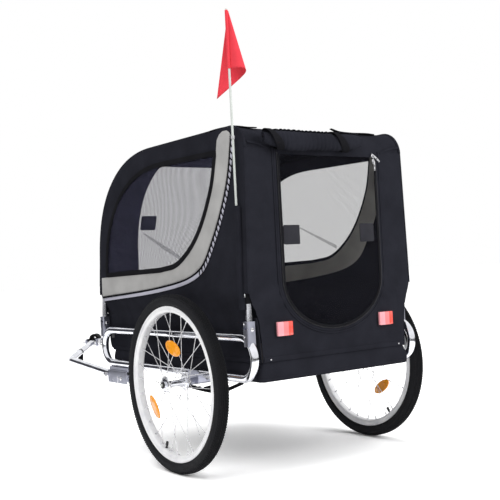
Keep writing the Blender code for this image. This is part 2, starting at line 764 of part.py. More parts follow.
def make_covers():
    """Roof and front in one sheet, with the front window's mesh in its opening."""
    rear, window, tuck = cover_line()
    line = [*rear, *window[1:], *tuck[1:]]
    opening = range(len(rear) - 1, len(rear) + len(window) - 2)
    strip("roof_and_front_cover", line, lambda z: skin_x(z) - SKIN_INSET, "black_cloth",
          skip=set(opening))
    inset = [Vector(p) for p in window]
    inset[0] += (inset[1] - inset[0]).normalized() * 0.0006
    inset[-1] += (inset[-2] - inset[-1]).normalized() * 0.0006
    strip("front_window_mesh", [tuple(p) for p in inset], lambda z: WINDOW_HALF - 0.0006,
          "mesh_cloth", thickness=0.0012)


def door_outline(grow=0.0):
    """The rear doorway's shape in (x, z), grown all round."""
    bottom = arc((0, DOOR_BEND_Z), (DOOR_HALF + grow, DOOR_BEND_DEPTH + grow), 180, 360, 18)
    top = DOOR_TOP_Z + grow
    return [(-DOOR_HALF - grow, top), *bottom, (DOOR_HALF + grow, top)]


def make_rear():
    """Rear wall with its doorway, the zipped mesh door over it and the two reflectors."""
    edge = [(skin_x(z) - SKIN_INSET, z)
            for z in (HEM_Z, 0.36, 0.40, 0.43, 0.46, 0.487, ROOF_Z - ROOF_BEND)]
    wall_in = REAR_WALL_Y + CLOTH
    upright_panel("rear_wall", mirrored(edge), REAR_WALL_Y, wall_in, "black_cloth",
                  holes=(door_outline(),))
    outer_y = REAR_WALL_Y - GAP - DOOR_DEPTH
    hinge = pivot("rear_door_axis", (0, outer_y, DOOR_TOP_Z + DOOR_LAP))
    door = upright_panel("rear_door", door_outline(DOOR_LAP), outer_y, REAR_WALL_Y - GAP,
                         "mesh_cloth")
    recess = upright_panel("door_recess", door_outline(DOOR_LAP - DOOR_BORDER),
                           outer_y + 0.002, REAR_WALL_Y + 0.01)
    boolean(door, recess)
    hang(door, hinge)
    make_zip_slider(outer_y, hinge)
    for word, side in SIDES.items():
        reflector = block(f"{word}_rear_reflector", (side * 0.176 - 0.028, REAR_WALL_Y - 0.013,
                                                     0.373),
                          (side * 0.176 + 0.028, REAR_WALL_Y - GAP, 0.413), "red_plastic")
        rounded(reflector, 0.006, 2)


def make_zip_slider(door_y, hinge):
    """Slider body and its long pull, hanging at the top right of the doorway."""
    x, z = 0.160, 0.826
    body = block("zip_slider", (x - 0.005, door_y - 0.0055, z - 0.007),
                 (x + 0.005, door_y - GAP, z + 0.007), "zinc_steel", bevel=0.001)
    pull = block("zip_pull", (x - 0.003, door_y - 0.0070, z - 0.034),
                 (x + 0.003, door_y - 0.0050, z + 0.002))
    hole = cylinder("zip_pull_hole", 0.0015, 0.01, (x, door_y - 0.006, z - 0.030), (0, 1, 0),
                    steps=10)
    boolean(body, pull, "UNION")
    boolean(body, hole)
    hang(body, hinge)


def tray_block(inset, low_z, high_z):
    """The tub's plan shape between two heights, drawn in by this much, as a bmesh."""
    low = Vector((inset - TUB_HALF, REAR_WALL_Y + inset, low_z))
    high = Vector((TUB_HALF - inset, TUB_FRONT_Y - inset, high_z))
    bm = bmesh.new()
    bmesh.ops.create_cube(bm, size=1.0)
    bm.transform(Matrix.Translation((low + high) / 2) @ Matrix.Diagonal((*(high - low), 1.0)))
    corners = [edge for edge in bm.edges
               if abs(edge.verts[0].co.z - edge.verts[1].co.z) > (high_z - low_z) / 2]
    bmesh.ops.bevel(bm, geom=corners, offset=0.012, segments=3, affect="EDGES")
    bmesh.ops.recalc_face_normals(bm, faces=bm.faces)
    return bm


def make_tub():
    """The lower cloth tub inside the loops, and the floor board on its two cross tubes."""
    bm = tray_block(0.0, TUB_LOW_Z, HEM_Z - GAP)
    lid = [face for face in bm.faces if face.normal.z > 0.5]
    bmesh.ops.delete(bm, geom=lid, context="FACES_ONLY")
    mesh = bpy.data.meshes.new("cabin_tub")
    bm.to_mesh(mesh)
    bm.free()
    tub = keep(bpy.data.objects.new("cabin_tub", mesh), "black_cloth")
    shell = tub.modifiers.new("cloth", "SOLIDIFY")
    shell.thickness = CLOTH
    shell.offset = -1.0
    shell.use_even_offset = True
    for seat in make_cross_tubes():
        boolean(tub, seat)
    object_of("floor_board", tray_block(CLOTH + 0.002, FLOOR_Z, FLOOR_Z + FLOOR_BOARD), "board")


def make_door_roll():
    """The outer door flap, rolled up over the doorway in gathers and tied with two straps."""
    x, half, y, z, radius, depth = -0.060, 0.165, -0.2930, 0.8820, 0.0265, 0.62
    points = []
    count = 20
    for i in range(count + 1):
        along = 2 * i / count - 1
        sag = 0.006 * (1 - along * along)
        gather = 1 + 0.09 * math.sin(i * 2.4) - 0.30 * along ** 8
        points.append(((x + half * along, y, z - sag), gather))
    roll = mesh_tube("door_roll", points, radius, "black_cloth", resolution=3)
    flatten = Matrix.Translation((0, y * (1 - depth), 0)) @ Matrix.Diagonal((1, depth, 1, 1))
    roll.data.transform(flatten)
    for word, strap_x in (("left", -0.150), ("right", 0.055)):
        ring = [(radius + 0.0030, 0.010), (radius + 0.0030, -0.010), (radius - 0.003, -0.010),
                (radius - 0.003, 0.010)]
        strap = turned(f"{word}_roll_strap", ring, None, steps=14)
        strap.location = (strap_x, y, z - 0.005)
        strap.rotation_euler = (0, math.radians(90), 0)
        strap.scale = (1, depth, 1)
        boolean(roll, strap, "UNION")


def make_tow_bracket():
    """An inverted channel under the left lower rail, and the bolt that the arm turns on."""
    low_y, high_y = TOW_BRACKET_YS
    inner, outer, low, web, top = 0.0118, 0.0143, 0.2130, 0.2495, 0.2520
    neck, rail_z = 0.008, RAIL_LOW_Z - LOOP_TUBE_R - GAP
    half = [(inner, low), (outer, low), (outer, top), (neck, top), (neck, rail_z)]
    outline = [*half, *[(-x, z) for x, z in reversed(half)], (-inner, web), (inner, web)]
    bm = flat("tow_bracket", outline, high_y - low_y)
    for vert in bm.verts:
        x, z, off = vert.co
        vert.co = (x - LOOP_X, (low_y + high_y) / 2 + off, z)
    bracket = object_of("tow_bracket", bm, "zinc_steel")
    for name, y, z, radius in (("tow_bolt_hole", TOW_PIVOT[1], TOW_PIVOT[2], BOLT_HOLE_R),
                               ("tow_spare_hole", 0.478, 0.2200, 0.0030)):
        hole = cylinder(name, radius, 0.05, (-LOOP_X, y, z), (1, 0, 0), steps=12)
        boolean(bracket, hole)
    bolt = turned("tow_pivot_bolt", bolt_profile(outer + GAP, 0.0065, 0.0060), "zinc_steel", 12)
    bolt.location = TOW_PIVOT
    bolt.rotation_euler = (0, math.radians(-90), 0)


def bolt_profile(grip, head_r, nut_r):
    """A bolt along Z: domed head, shank and nut, with this much between head and middle."""
    return [(0, grip + 0.0045), (head_r * 0.7, grip + 0.0040), (head_r, grip + 0.0015),
            (head_r, grip), (BOLT_R, grip), (BOLT_R, -grip), (nut_r, -grip),
            (nut_r, -grip - 0.004), (BOLT_R, -grip - 0.004), (BOLT_R, -grip - 0.006),
            (0, -grip - 0.006)]


def make_tow_arm():
    """The bent tow tube, from its bracket forward and then in towards the bicycle."""
    start, corner, end = Vector(TOW_PIVOT), Vector(TOW_CORNER), Vector(TOW_END)
    tail = start - (corner - start).normalized() * TOW_TAIL
    path = filleted((tail, corner, end), TOW_BEND, 8)
    arm = mesh_tube("tow_arm", path, TOW_TUBE_R, "polished_aluminium", resolution=4)
    rise = (corner - start).normalized()
    pin_at = start + rise * (LOCK_PIN_Y - start.y) / rise.y
    across = Vector((1, -1, 0)).normalized()
    inward = (end - corner).normalized()
    bolt_at = end - inward * HITCH_BACK
    for name, centre, axis in (("arm_pivot_hole", start, (1, 0, 0)),
                               ("arm_pin_hole", pin_at, (1, 0, 0)),
                               ("arm_hitch_hole", bolt_at, across)):
        boolean(arm, cylinder(name, BOLT_HOLE_R, 0.06, centre, axis, steps=12))
    hinge = pivot("tow_arm_axis", TOW_PIVOT)
    hang(arm, hinge)
    make_safety_strap(corner, inward, hinge)
    make_lock_pin(pin_at, hinge)
    make_hitch(bolt_at, hinge)


def make_safety_strap(corner, inward, hinge):
    """A loop of webbing hung over the tow tube, which goes round the bicycle's frame."""
    half_width, wall, drop = 0.012, 0.002, 0.040
    radius = TOW_TUBE_R + GAP
    outer = [*arc((0, 0), radius + wall, 0, 180, 10), (-radius * 0.35, -drop),
             (radius * 0.35, -drop)]
    hole = [*arc((0, 0), radius, 0, 180, 10), (-radius * 0.9, -0.005),
            (-radius * 0.35 + wall, wall - drop), (radius * 0.35 - wall, wall - drop),
            (radius * 0.9, -0.005)]
    hole[-1] = (radius, -0.006)
    hole[11] = (-radius, -0.006)
    outer[-1] = (radius * 0.35, -drop)
    outer.insert(11, (-radius - wall, -0.008))
    outer.append((radius + wall, -0.008))
    bm = flat("safety_strap", outer, 2 * half_width, holes=(hole,))
    ahead = Vector((inward.x, inward.y, inward.z))
    across = ahead.cross(Vector((0, 0, 1))).normalized()
    up = across.cross(ahead)
    place = Matrix((across, up, ahead)).transposed().to_4x4()
    place.translation = corner + ahead * 0.095
    bm.transform(place)
    hang(object_of("safety_strap", bm, "webbing"), hinge)


def make_lock_pin(pin_at, arm_axis):
    """The pin across the tow tube in front of the bracket, and the wire bail on its head."""
    head, groove, collar, shank = 0.0255, 0.0235, 0.0205, 0.0175
    profile = [(0, head), (0.0055, head), (0.0055, groove), (0.0030, groove), (0.0030, collar),
               (0.0065, collar), (0.0065, shank), (BOLT_R, shank), (BOLT_R, -0.018),
               (0.0020, -0.021), (0, -0.021)]
    axis = pivot("lock_pin_axis", pin_at, arm_axis)
    pin = turned("lock_pin", profile, "zinc_steel", 16, axis)
    pin.rotation_euler = (0, math.radians(-90), 0)
    wire, eye_r, wide, deep = 0.0010, 0.0044, 0.044, 0.038
    x = -(groove + collar) / 2
    eye = [(x, eye_r * math.cos(t * math.tau / 12), eye_r * math.sin(t * math.tau / 12))
           for t in range(12)]
    bail = mesh_tube("pin_bail", eye, wire, "zinc_steel", resolution=1, cyclic=True, parent=axis)
    drop = [(x, y, z) for y, z in arc((-wide, -eye_r), (wide, deep), 0, -180, 14)]
    hanging = mesh_tube("bail_wire", drop, wire, resolution=1, parent=axis)
    boolean(bail, hanging, "UNION")


def make_hitch(bolt_at, arm_axis):
    """Clevis, clamp screw with its knob, and the rubber-lined jaw for the bicycle's stay."""
    hitch = pivot("hitch_axis", bolt_at, arm_axis, turn=(0, 0, math.radians(-45)))
    inner, outer, tail, web, front, half_z = 0.0185, 0.0215, -0.012, 0.0555, 0.0585, 0.013
    outline = [(outer, tail), (outer, front), (-outer, front), (-outer, tail), (-inner, tail),
               (-inner, web), (inner, web), (inner, tail)]
    yoke = object_of("hitch_yoke", flat("hitch_yoke", outline, 2 * half_z), "zinc_steel", hitch)
    rounded(yoke, 0.0008, 1)
    boolean(yoke, cylinder("yoke_hole", BOLT_HOLE_R, 0.06, (0, 0, 0), (1, 0, 0), steps=12,
                           parent=hitch))
    grip = outer + GAP
    screw = [(0, 0.037), (0.0105, 0.037), (0.0130, 0.0345), (0.0130, 0.0285), (0.0105, 0.0265),
             (0.0065, 0.0265), (0.0065, grip), (BOLT_R, grip), (BOLT_R, -grip), (0.007, -grip),
             (0.007, -grip - 0.006), (BOLT_R, -grip - 0.006), (BOLT_R, -0.036), (0, -0.036)]
    knob = turned("hitch_clamp_screw", screw, "zinc_steel", 16, hitch)
    knob.rotation_euler = (0, math.radians(90), 0)
    centre_y, outer_r, inner_r, low, shoulder = 0.037, 0.018, 0.0095, -0.010, 0.020
    arch = [(centre_y + outer_r, low), *arc((centre_y, shoulder), outer_r, 0, 180, 10),
            (centre_y - outer_r, low), (centre_y - inner_r, low),
            *arc((centre_y, shoulder), inner_r, 180, 0, 8), (centre_y + inner_r, low)]
    bm = flat("hitch_jaw", arch, 2 * (inner - 0.0005))
    for vert in bm.verts:
        y, z, off = vert.co
        vert.co = (off, y, z)
    object_of("hitch_jaw", bm, "rubber", hitch)


def make_flag():
    """The pennant on its rod.

    Its cloth is a right-angled triangle. It hangs as part of a cone round the hoist's top: out to
    the right of the rod and back behind it.
    """
    base = pivot("flag_axis", (POLE_X, POLE_Y, POLE_Z[0]))
    length = POLE_Z[1] - POLE_Z[0]
    profile = [(0, length), (POLE_R * 0.6, length), (POLE_R, length - 0.002), (POLE_R, 0), (0, 0)]
    turned("flag_pole", profile, "white_rod", 10, base)
    low, high = FLAG_HOIST_Z
    hoist, start = high - low, 0.012
    right, behind = Vector((0.817, -0.577, 0)), Vector((0.577, 0.817, 0))
    tilts = smooth(FLAG_TILTS, 2)
    turned_by = 0.0
    bm = bmesh.new()
    rows = []
    for i, (across, away) in enumerate(tilts):
        if i:
            turned_by += math.radians(math.dist(tilts[i - 1], tilts[i]))
        tilt = math.radians(math.hypot(across, away))
        side = (right * across + behind * away).normalized() if tilt else right
        way = side * math.sin(tilt) - Vector((0, 0, math.cos(tilt)))
        top = Vector((POLE_X, POLE_Y, high)) + right * (POLE_R + 0.0011)
        reach = hoist / math.cos(turned_by)
        rows.append([bm.verts.new(top + way * (start + (reach - start) * j / 4)) for j in range(5)])
    for row, after in zip(rows, rows[1:]):
        for j in range(4):
            bm.faces.new((row[j], after[j], after[j + 1], row[j + 1]))
    mesh = bpy.data.meshes.new("flag")
    bm.to_mesh(mesh)
    bm.free()
    flag = keep(bpy.data.objects.new("flag", mesh), "red_cloth")
    shell = flag.modifiers.new("cloth", "SOLIDIFY")
    shell.thickness = 0.0008
    shell.offset = 0.0
    hang(flag, base)


def main():
    seats = make_loops()
    make_axle_tube()
    make_axle_clamps(seats)
    make_fold_brackets(seats)
    make_side_frames()
    for word, axis in wheel_axes().items():
        make_wheel(word, axis)
    make_tub()
    make_side_panels()
    make_covers()
    make_rear()
    make_door_roll()
    make_tow_bracket()
    make_tow_arm()
    make_flag()


main()
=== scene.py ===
"""Looks of a bicycle trailer: a net-windowed cloth cabin on a folding tube frame.

Sizes are in metres. Every piece is drawn in the axle frame, where X points to the trailer's right,
Y forward and Z up, with the wheel axle at Y = 0 and Z = AXLE_Z, and is then moved as a whole to
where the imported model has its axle.
"""

from __future__ import annotations

import json
import logging
import math
from collections.abc import Callable, Iterable, Sequence
from dataclasses import dataclass, field
from enum import Enum
from pathlib import Path

import bmesh
import bpy
import numpy as np
from mathutils import Matrix, Vector, noise
from mathutils.geometry import delaunay_2d_cdt
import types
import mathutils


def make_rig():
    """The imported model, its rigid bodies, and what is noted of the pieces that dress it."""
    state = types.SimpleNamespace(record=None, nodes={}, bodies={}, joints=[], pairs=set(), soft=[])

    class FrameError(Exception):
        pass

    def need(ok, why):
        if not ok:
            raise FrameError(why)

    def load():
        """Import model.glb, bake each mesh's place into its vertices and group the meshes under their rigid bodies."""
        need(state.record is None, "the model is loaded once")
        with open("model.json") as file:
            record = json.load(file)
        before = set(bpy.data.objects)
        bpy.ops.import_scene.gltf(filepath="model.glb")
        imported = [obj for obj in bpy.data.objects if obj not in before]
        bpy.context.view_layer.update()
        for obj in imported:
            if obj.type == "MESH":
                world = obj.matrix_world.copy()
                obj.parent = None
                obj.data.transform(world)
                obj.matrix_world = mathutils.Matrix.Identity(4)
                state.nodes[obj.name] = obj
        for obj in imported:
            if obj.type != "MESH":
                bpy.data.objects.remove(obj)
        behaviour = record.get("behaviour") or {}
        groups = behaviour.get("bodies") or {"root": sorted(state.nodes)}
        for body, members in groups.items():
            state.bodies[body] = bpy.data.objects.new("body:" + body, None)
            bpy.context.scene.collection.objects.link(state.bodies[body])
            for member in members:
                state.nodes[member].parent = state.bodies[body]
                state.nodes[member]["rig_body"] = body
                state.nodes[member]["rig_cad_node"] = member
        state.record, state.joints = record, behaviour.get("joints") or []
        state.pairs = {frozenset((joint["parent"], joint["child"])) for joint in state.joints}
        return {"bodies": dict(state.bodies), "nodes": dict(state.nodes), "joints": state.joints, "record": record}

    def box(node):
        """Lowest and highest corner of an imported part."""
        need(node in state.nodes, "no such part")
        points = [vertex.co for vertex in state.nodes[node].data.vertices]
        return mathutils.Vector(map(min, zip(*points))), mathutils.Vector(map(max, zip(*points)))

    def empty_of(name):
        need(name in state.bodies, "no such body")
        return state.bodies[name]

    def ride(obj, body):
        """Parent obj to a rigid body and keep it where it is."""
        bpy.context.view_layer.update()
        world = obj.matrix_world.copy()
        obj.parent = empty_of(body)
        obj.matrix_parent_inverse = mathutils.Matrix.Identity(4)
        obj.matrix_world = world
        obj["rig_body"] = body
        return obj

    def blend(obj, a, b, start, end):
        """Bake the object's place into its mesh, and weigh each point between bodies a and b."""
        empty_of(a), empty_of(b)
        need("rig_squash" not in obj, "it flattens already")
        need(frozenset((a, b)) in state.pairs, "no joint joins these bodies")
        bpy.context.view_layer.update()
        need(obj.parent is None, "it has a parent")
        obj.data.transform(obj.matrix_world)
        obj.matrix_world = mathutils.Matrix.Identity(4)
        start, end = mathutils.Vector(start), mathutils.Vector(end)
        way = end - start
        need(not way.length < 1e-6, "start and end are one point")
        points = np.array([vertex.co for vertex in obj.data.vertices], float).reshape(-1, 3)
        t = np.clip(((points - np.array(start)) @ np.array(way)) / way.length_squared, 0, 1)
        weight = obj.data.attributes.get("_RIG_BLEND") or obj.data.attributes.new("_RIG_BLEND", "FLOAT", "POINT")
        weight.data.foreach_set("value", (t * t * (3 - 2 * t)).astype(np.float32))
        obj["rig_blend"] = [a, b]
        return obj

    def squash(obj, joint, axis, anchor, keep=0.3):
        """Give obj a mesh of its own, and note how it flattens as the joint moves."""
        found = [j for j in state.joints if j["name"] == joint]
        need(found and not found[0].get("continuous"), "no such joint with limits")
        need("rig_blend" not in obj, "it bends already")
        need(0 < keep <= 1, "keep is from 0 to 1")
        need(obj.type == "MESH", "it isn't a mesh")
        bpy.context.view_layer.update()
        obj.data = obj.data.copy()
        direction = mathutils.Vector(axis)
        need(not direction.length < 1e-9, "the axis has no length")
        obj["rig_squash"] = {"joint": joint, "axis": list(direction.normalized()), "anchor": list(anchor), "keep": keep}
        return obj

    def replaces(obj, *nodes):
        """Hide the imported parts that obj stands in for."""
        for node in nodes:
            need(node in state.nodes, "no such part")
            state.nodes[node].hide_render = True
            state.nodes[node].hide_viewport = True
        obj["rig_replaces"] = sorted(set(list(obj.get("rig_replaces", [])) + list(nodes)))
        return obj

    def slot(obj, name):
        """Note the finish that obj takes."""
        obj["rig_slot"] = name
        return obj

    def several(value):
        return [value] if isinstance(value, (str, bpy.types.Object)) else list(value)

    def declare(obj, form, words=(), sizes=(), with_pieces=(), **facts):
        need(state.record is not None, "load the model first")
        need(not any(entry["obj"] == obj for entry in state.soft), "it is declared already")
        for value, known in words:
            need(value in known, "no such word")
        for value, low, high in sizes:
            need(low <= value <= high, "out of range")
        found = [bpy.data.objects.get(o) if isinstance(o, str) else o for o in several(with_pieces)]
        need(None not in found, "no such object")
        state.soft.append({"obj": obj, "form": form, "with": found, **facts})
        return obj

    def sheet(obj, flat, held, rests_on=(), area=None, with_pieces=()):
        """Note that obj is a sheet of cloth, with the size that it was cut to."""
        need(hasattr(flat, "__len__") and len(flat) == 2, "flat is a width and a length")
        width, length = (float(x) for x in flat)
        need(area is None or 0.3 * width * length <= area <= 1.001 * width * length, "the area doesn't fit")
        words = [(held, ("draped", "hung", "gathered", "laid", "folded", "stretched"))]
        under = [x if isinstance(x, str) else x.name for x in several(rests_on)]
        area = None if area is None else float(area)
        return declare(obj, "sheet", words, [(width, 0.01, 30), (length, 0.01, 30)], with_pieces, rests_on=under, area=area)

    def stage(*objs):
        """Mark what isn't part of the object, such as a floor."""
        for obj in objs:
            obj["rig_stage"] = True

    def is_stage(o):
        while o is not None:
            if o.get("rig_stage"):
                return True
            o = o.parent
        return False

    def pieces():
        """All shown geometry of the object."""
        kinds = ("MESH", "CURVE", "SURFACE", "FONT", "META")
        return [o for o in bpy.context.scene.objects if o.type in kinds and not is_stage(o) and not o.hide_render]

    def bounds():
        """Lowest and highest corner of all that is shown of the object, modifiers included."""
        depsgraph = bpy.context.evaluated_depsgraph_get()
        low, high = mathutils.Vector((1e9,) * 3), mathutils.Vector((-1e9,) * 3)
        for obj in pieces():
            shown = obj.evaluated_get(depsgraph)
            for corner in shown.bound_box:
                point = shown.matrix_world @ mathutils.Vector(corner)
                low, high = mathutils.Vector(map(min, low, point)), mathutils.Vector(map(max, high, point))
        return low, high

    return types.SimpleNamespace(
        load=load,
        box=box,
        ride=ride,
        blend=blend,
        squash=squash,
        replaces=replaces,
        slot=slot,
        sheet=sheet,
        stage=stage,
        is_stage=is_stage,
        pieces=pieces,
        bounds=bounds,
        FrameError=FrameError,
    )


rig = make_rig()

LOG = logging.getLogger("trailer")
SIZE_FILE = Path("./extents.json")
WELD = 1e-6
AXLE_Z = 0.252
Point2 = tuple[float, float]
Point3 = tuple[float, float, float]
Colour = tuple[float, float, float]
Line = Sequence[Sequence[float]]
Outline = Sequence[Point2]
Obj = bpy.types.Object
Node = bpy.types.Node
Socket = bpy.types.NodeSocket


class Side(Enum):
    """The trailer's two sides, with the sign of X on each."""

    LEFT = -1
    RIGHT = 1

    @property
    def word(self) -> str:
        """The side's name as it is used in node and body names."""
        return self.name.lower()

    @property
    def out(self) -> Vector:
        """The direction outwards."""
        return Vector((self.value, 0, 0))


# Node boards
@dataclass
class NodeBoard:
    """A short way to fill a material's or a modifier's node tree."""

    tree: bpy.types.NodeTree

    def put(self, port: Socket, value: object) -> None:
        """Links a socket to an input, or sets the input to a value."""
        if isinstance(value, Socket):
            self.tree.links.new(value, port)
        else:
            port.default_value = value

    def feed(self, node: Node, **inputs: object) -> None:
        """Puts sockets or values on a node's inputs, whose names have underscores for spaces."""
        for key, value in inputs.items():
            self.put(node.inputs[key.replace("_", " ")], value)

    def add(self, kind: str, **settings: object) -> Node:
        """Adds a node.

        Args:
            kind: the node's Blender type name.
            **settings: attributes of the node, or sockets or values for its inputs.

        Returns:
            The new node.
        """
        node = self.tree.nodes.new(kind)
        for key, value in settings.items():
            if hasattr(node, key):
                setattr(node, key, value)
            else:
                self.feed(node, **{key: value})
        return node

    def maths(self, operation: str, *values: object) -> Socket:
        """A Math node's output on sockets or numbers."""
        node = self.add("ShaderNodeMath", operation=operation)
        for port, value in zip(node.inputs, values):
            self.put(port, value)
        return node.outputs[0]

    def noise(self, where: Socket, scale: float, detail: float = 3.0,
              roughness: float = 0.5) -> Socket:
        """A Noise texture's value at these coordinates."""
        return self.add("ShaderNodeTexNoise", Scale=scale, Detail=detail, Roughness=roughness,
                        Vector=where).outputs["Fac"]

    def ramp(self, value: Socket, low: float, high: float, start: float = 0.3,
             end: float = 0.7) -> Socket:
        """Maps a value from start..end to low..high."""
        return self.add("ShaderNodeMapRange", Value=value, From_Min=start, From_Max=end,
                        To_Min=low, To_Max=high).outputs["Result"]

    def tint(self, share: Socket, *pair: Socket | Colour) -> Socket:
        """Mixes two colours by this share."""
        node = self.add("ShaderNodeMix", data_type="RGBA", Factor=share)
        for port, colour in zip(node.inputs[6:8], pair):
            self.put(port, colour if isinstance(colour, Socket) else (*colour, 1.0))
        return node.outputs[2]

    def bump(self, height: Socket, depth: float, strength: float,
             under: Socket | None = None) -> Socket:
        """A Bump node's normal.

        Args:
            height: the height, from 0 to 1.
            depth: what a height of 1 stands for.
            strength: the bump's strength.
            under: the normal of a coarser bump below this one.

        Returns:
            The bumped normal.
        """
        node = self.add("ShaderNodeBump", Distance=depth, Strength=strength, Height=height)
        if under is not None:
            self.feed(node, Normal=under)
        return node.outputs["Normal"]

    def weave(self, pitch: float) -> Socket:
        """The height of a plain weave over the piece's UV map, which is in metres."""
        place = self.add("ShaderNodeUVMap", uv_map="UVMap").outputs["UV"]
        split = self.add("ShaderNodeSeparateXYZ", Vector=place)
        waves = [self.maths("SINE", self.maths("MULTIPLY", split.outputs[axis], math.pi / pitch))
                 for axis in "XY"]
        over = self.maths("MULTIPLY", *waves)
        return self.maths("ADD", self.maths("MULTIPLY", over, 0.5), 0.5)


# Finishes
@dataclass(frozen=True)
class Finish:
    """A finish of one plain colour. Its kinds add what each real surface shows.

    Attributes:
        name: the material's name.
        slot: the record's material slot that the finish stands for.
        colour: the base colour.
        rough: the roughness.
        mottle: how much the colour varies.
    """

    name: str
    slot: str
    colour: Colour
    rough: float = 0.5
    mottle: float = 0.15

    def material(self) -> bpy.types.Material:
        """The finish as a material, made once.

        Returns:
            The material.
        """
        title = f"{self.name}_look"
        made = bpy.data.materials.get(title)
        if made is None:
            made = bpy.data.materials.new(title)
            made.use_nodes = True
            board = NodeBoard(made.node_tree)
            shader = made.node_tree.nodes["Principled BSDF"]
            board.feed(shader, Base_Color=(*self.colour, 1.0), Roughness=self.rough)
            self.dress(board, shader, board.add("ShaderNodeTexCoord").outputs["Object"])
        return made

    def shades(self, board: NodeBoard, where: Socket, scale: float) -> Socket:
        """The base colour, varied a little from place to place."""
        dark, light = (tuple(min(1.0, c * (1 + sign * self.mottle)) for c in self.colour)
                       for sign in (-1, 1))
        return board.tint(board.ramp(board.noise(where, scale), 0.0, 1.0), dark, light)

    def dress(self, board: NodeBoard, shader: Node, where: Socket) -> None:
        """Adds this finish's nodes."""
        board.feed(shader, Base_Color=self.shades(board, where, 60.0),
                   Normal=board.bump(board.noise(where, 900.0, 2.0), 0.0002, 0.35))


@dataclass(frozen=True)
class Metal(Finish):
    """Bare or plated metal with drawing marks and small scratches.

    Attributes:
        wear: how much the roughness varies.
        bare: how metallic it is, less where a dull film covers it.
    """

    wear: float = 0.06
    bare: float = 1.0

    def dress(self, board: NodeBoard, shader: Node, where: Socket) -> None:
        """Adds a metal's nodes."""
        low, high = max(0.05, self.rough - self.wear), self.rough + self.wear
        board.feed(shader, Metallic=self.bare, Base_Color=self.shades(board, where, 25.0),
                   Roughness=board.ramp(board.noise(where, 160.0, 5.0, 0.65), low, high),
                   Normal=board.bump(board.noise(where, 700.0, 2.0), 0.0001, 0.25))


@dataclass(frozen=True)
class Cloth(Finish):
    """Woven cloth, with its weave on the UV map and the give of a hung sheet.

    Attributes:
        pitch: the distance from thread to thread.
        relief: the weave's depth.
        sheen: the strength of the sheen.
    """

    pitch: float = 0.0011
    relief: float = 0.00035
    sheen: float = 0.008

    def dress(self, board: NodeBoard, shader: Node, where: Socket) -> None:
        """Adds a cloth's nodes."""
        folds = board.bump(board.noise(where, 8.0, 1.5, 0.45), 0.03, 0.55)
        creases = board.bump(board.noise(where, 26.0, 4.0, 0.55), 0.007, 0.45, folds)
        rough = board.ramp(board.noise(where, 40.0), self.rough - 0.06, self.rough + 0.08)
        board.feed(shader, Sheen_Weight=self.sheen, Sheen_Roughness=0.5, Roughness=rough,
                   Specular_IOR_Level=0.0, Base_Color=self.shades(board, where, 14.0),
                   Normal=board.bump(board.weave(self.pitch), self.relief, 0.6, creases))


@dataclass(frozen=True)
class Net(Finish):
    """Open window net: dark threads with light coming through between them.

    Attributes:
        pitch: the distance from hole to hole.
        cover: the opacity at the threads.
        open: the opacity at the holes.
    """

    pitch: float = 0.0028
    cover: float = 0.34
    open: float = 0.04

    def dress(self, board: NodeBoard, shader: Node, where: Socket) -> None:
        """Adds a net's nodes."""
        threads = board.weave(self.pitch)
        board.feed(shader, Specular_IOR_Level=0.08, Base_Color=self.shades(board, where, 30.0),
                   Alpha=board.ramp(threads, self.open, self.cover, 0.25, 0.75),
                   Normal=board.bump(threads, 0.0004, 0.5))


@dataclass(frozen=True)
class Rubber(Finish):
    """Tyre rubber with patches of dust."""

    dust: Colour = (0.04, 0.038, 0.035)

    def dress(self, board: NodeBoard, shader: Node, where: Socket) -> None:
        """Adds a rubber's nodes."""
        cloud = board.ramp(board.noise(where, 45.0, 5.0), 0.0, 0.12, 0.45, 0.8)
        rough = board.ramp(board.noise(where, 120.0), self.rough - 0.08, self.rough + 0.08)
        board.feed(shader, Specular_IOR_Level=0.06, Roughness=rough,
                   Base_Color=board.tint(cloud, self.colour, self.dust),
                   Normal=board.bump(board.noise(where, 1400.0, 2.0), 0.00015, 0.4))


@dataclass(frozen=True)
class Reflector(Finish):
    """Moulded reflector plastic over a field of small prisms, with a painted highlight.

    Attributes:
        prism: the prisms' size.
        glow: a lighter colour painted on the prisms' tops and on lit facets.
    """

    prism: float = 0.0024
    glow: Colour = (1.0, 0.5, 0.3)

    def dress(self, board: NodeBoard, shader: Node, where: Socket) -> None:
        """Adds a reflector's nodes."""
        cells = board.add("ShaderNodeTexVoronoi", feature="F1", Scale=1 / self.prism,
                          Randomness=0.15, Vector=where)
        height = board.ramp(cells.outputs["Distance"], 1.0, 0.0, 0.0, 0.6)
        facet = board.add("ShaderNodeAttribute", attribute_name="facet").outputs["Fac"]
        # A painted highlight: the prisms' tops take up to 0.12 of the lighter colour, and each facet its own share.
        share = board.maths("MULTIPLY_ADD", height, 0.12, facet)
        board.feed(shader, Coat_Weight=0.8, Coat_Roughness=0.05,
                   Base_Color=board.tint(share, self.colour, self.glow),
                   Normal=board.bump(height, 0.0006, 0.5))


BLACK_CLOTH = Cloth("black_cloth", "black_cloth", (0.0185, 0.019, 0.025), 0.62)
# The cabin's black cloth painted pale on its inner face behind each grey band: painted light inside the cabin.
INNER_PAINTED_LIGHT = Cloth("cabin_lining", "black_cloth", (0.46, 0.45, 0.42), 0.75, pitch=0.0014)
GREY_CLOTH = Cloth("grey_cloth", "grey_cloth", (0.395, 0.39, 0.385), 0.6, 0.09)
BINDING = Cloth("black_binding", "black_cloth", (0.012, 0.012, 0.014), 0.6, pitch=0.0016)
WEBBING = Cloth("black_webbing", "webbing", (0.012, 0.012, 0.014), 0.65, 0.15, 0.0022, 0.0006)
GREY_WEB = Cloth("grey_webbing", "webbing", (0.075, 0.075, 0.078), 0.65, 0.15, 0.0022, 0.0006)
FUZZ = Cloth("hook_and_loop", "black_cloth", (0.03, 0.03, 0.036), 0.95, 0.15, 0.0009, 0.0008, 0.05)
PIPING = Cloth("reflective_piping", "grey_cloth", (0.46, 0.455, 0.53), 0.4, 0.05, 0.003, 0.0006,
               0.05)
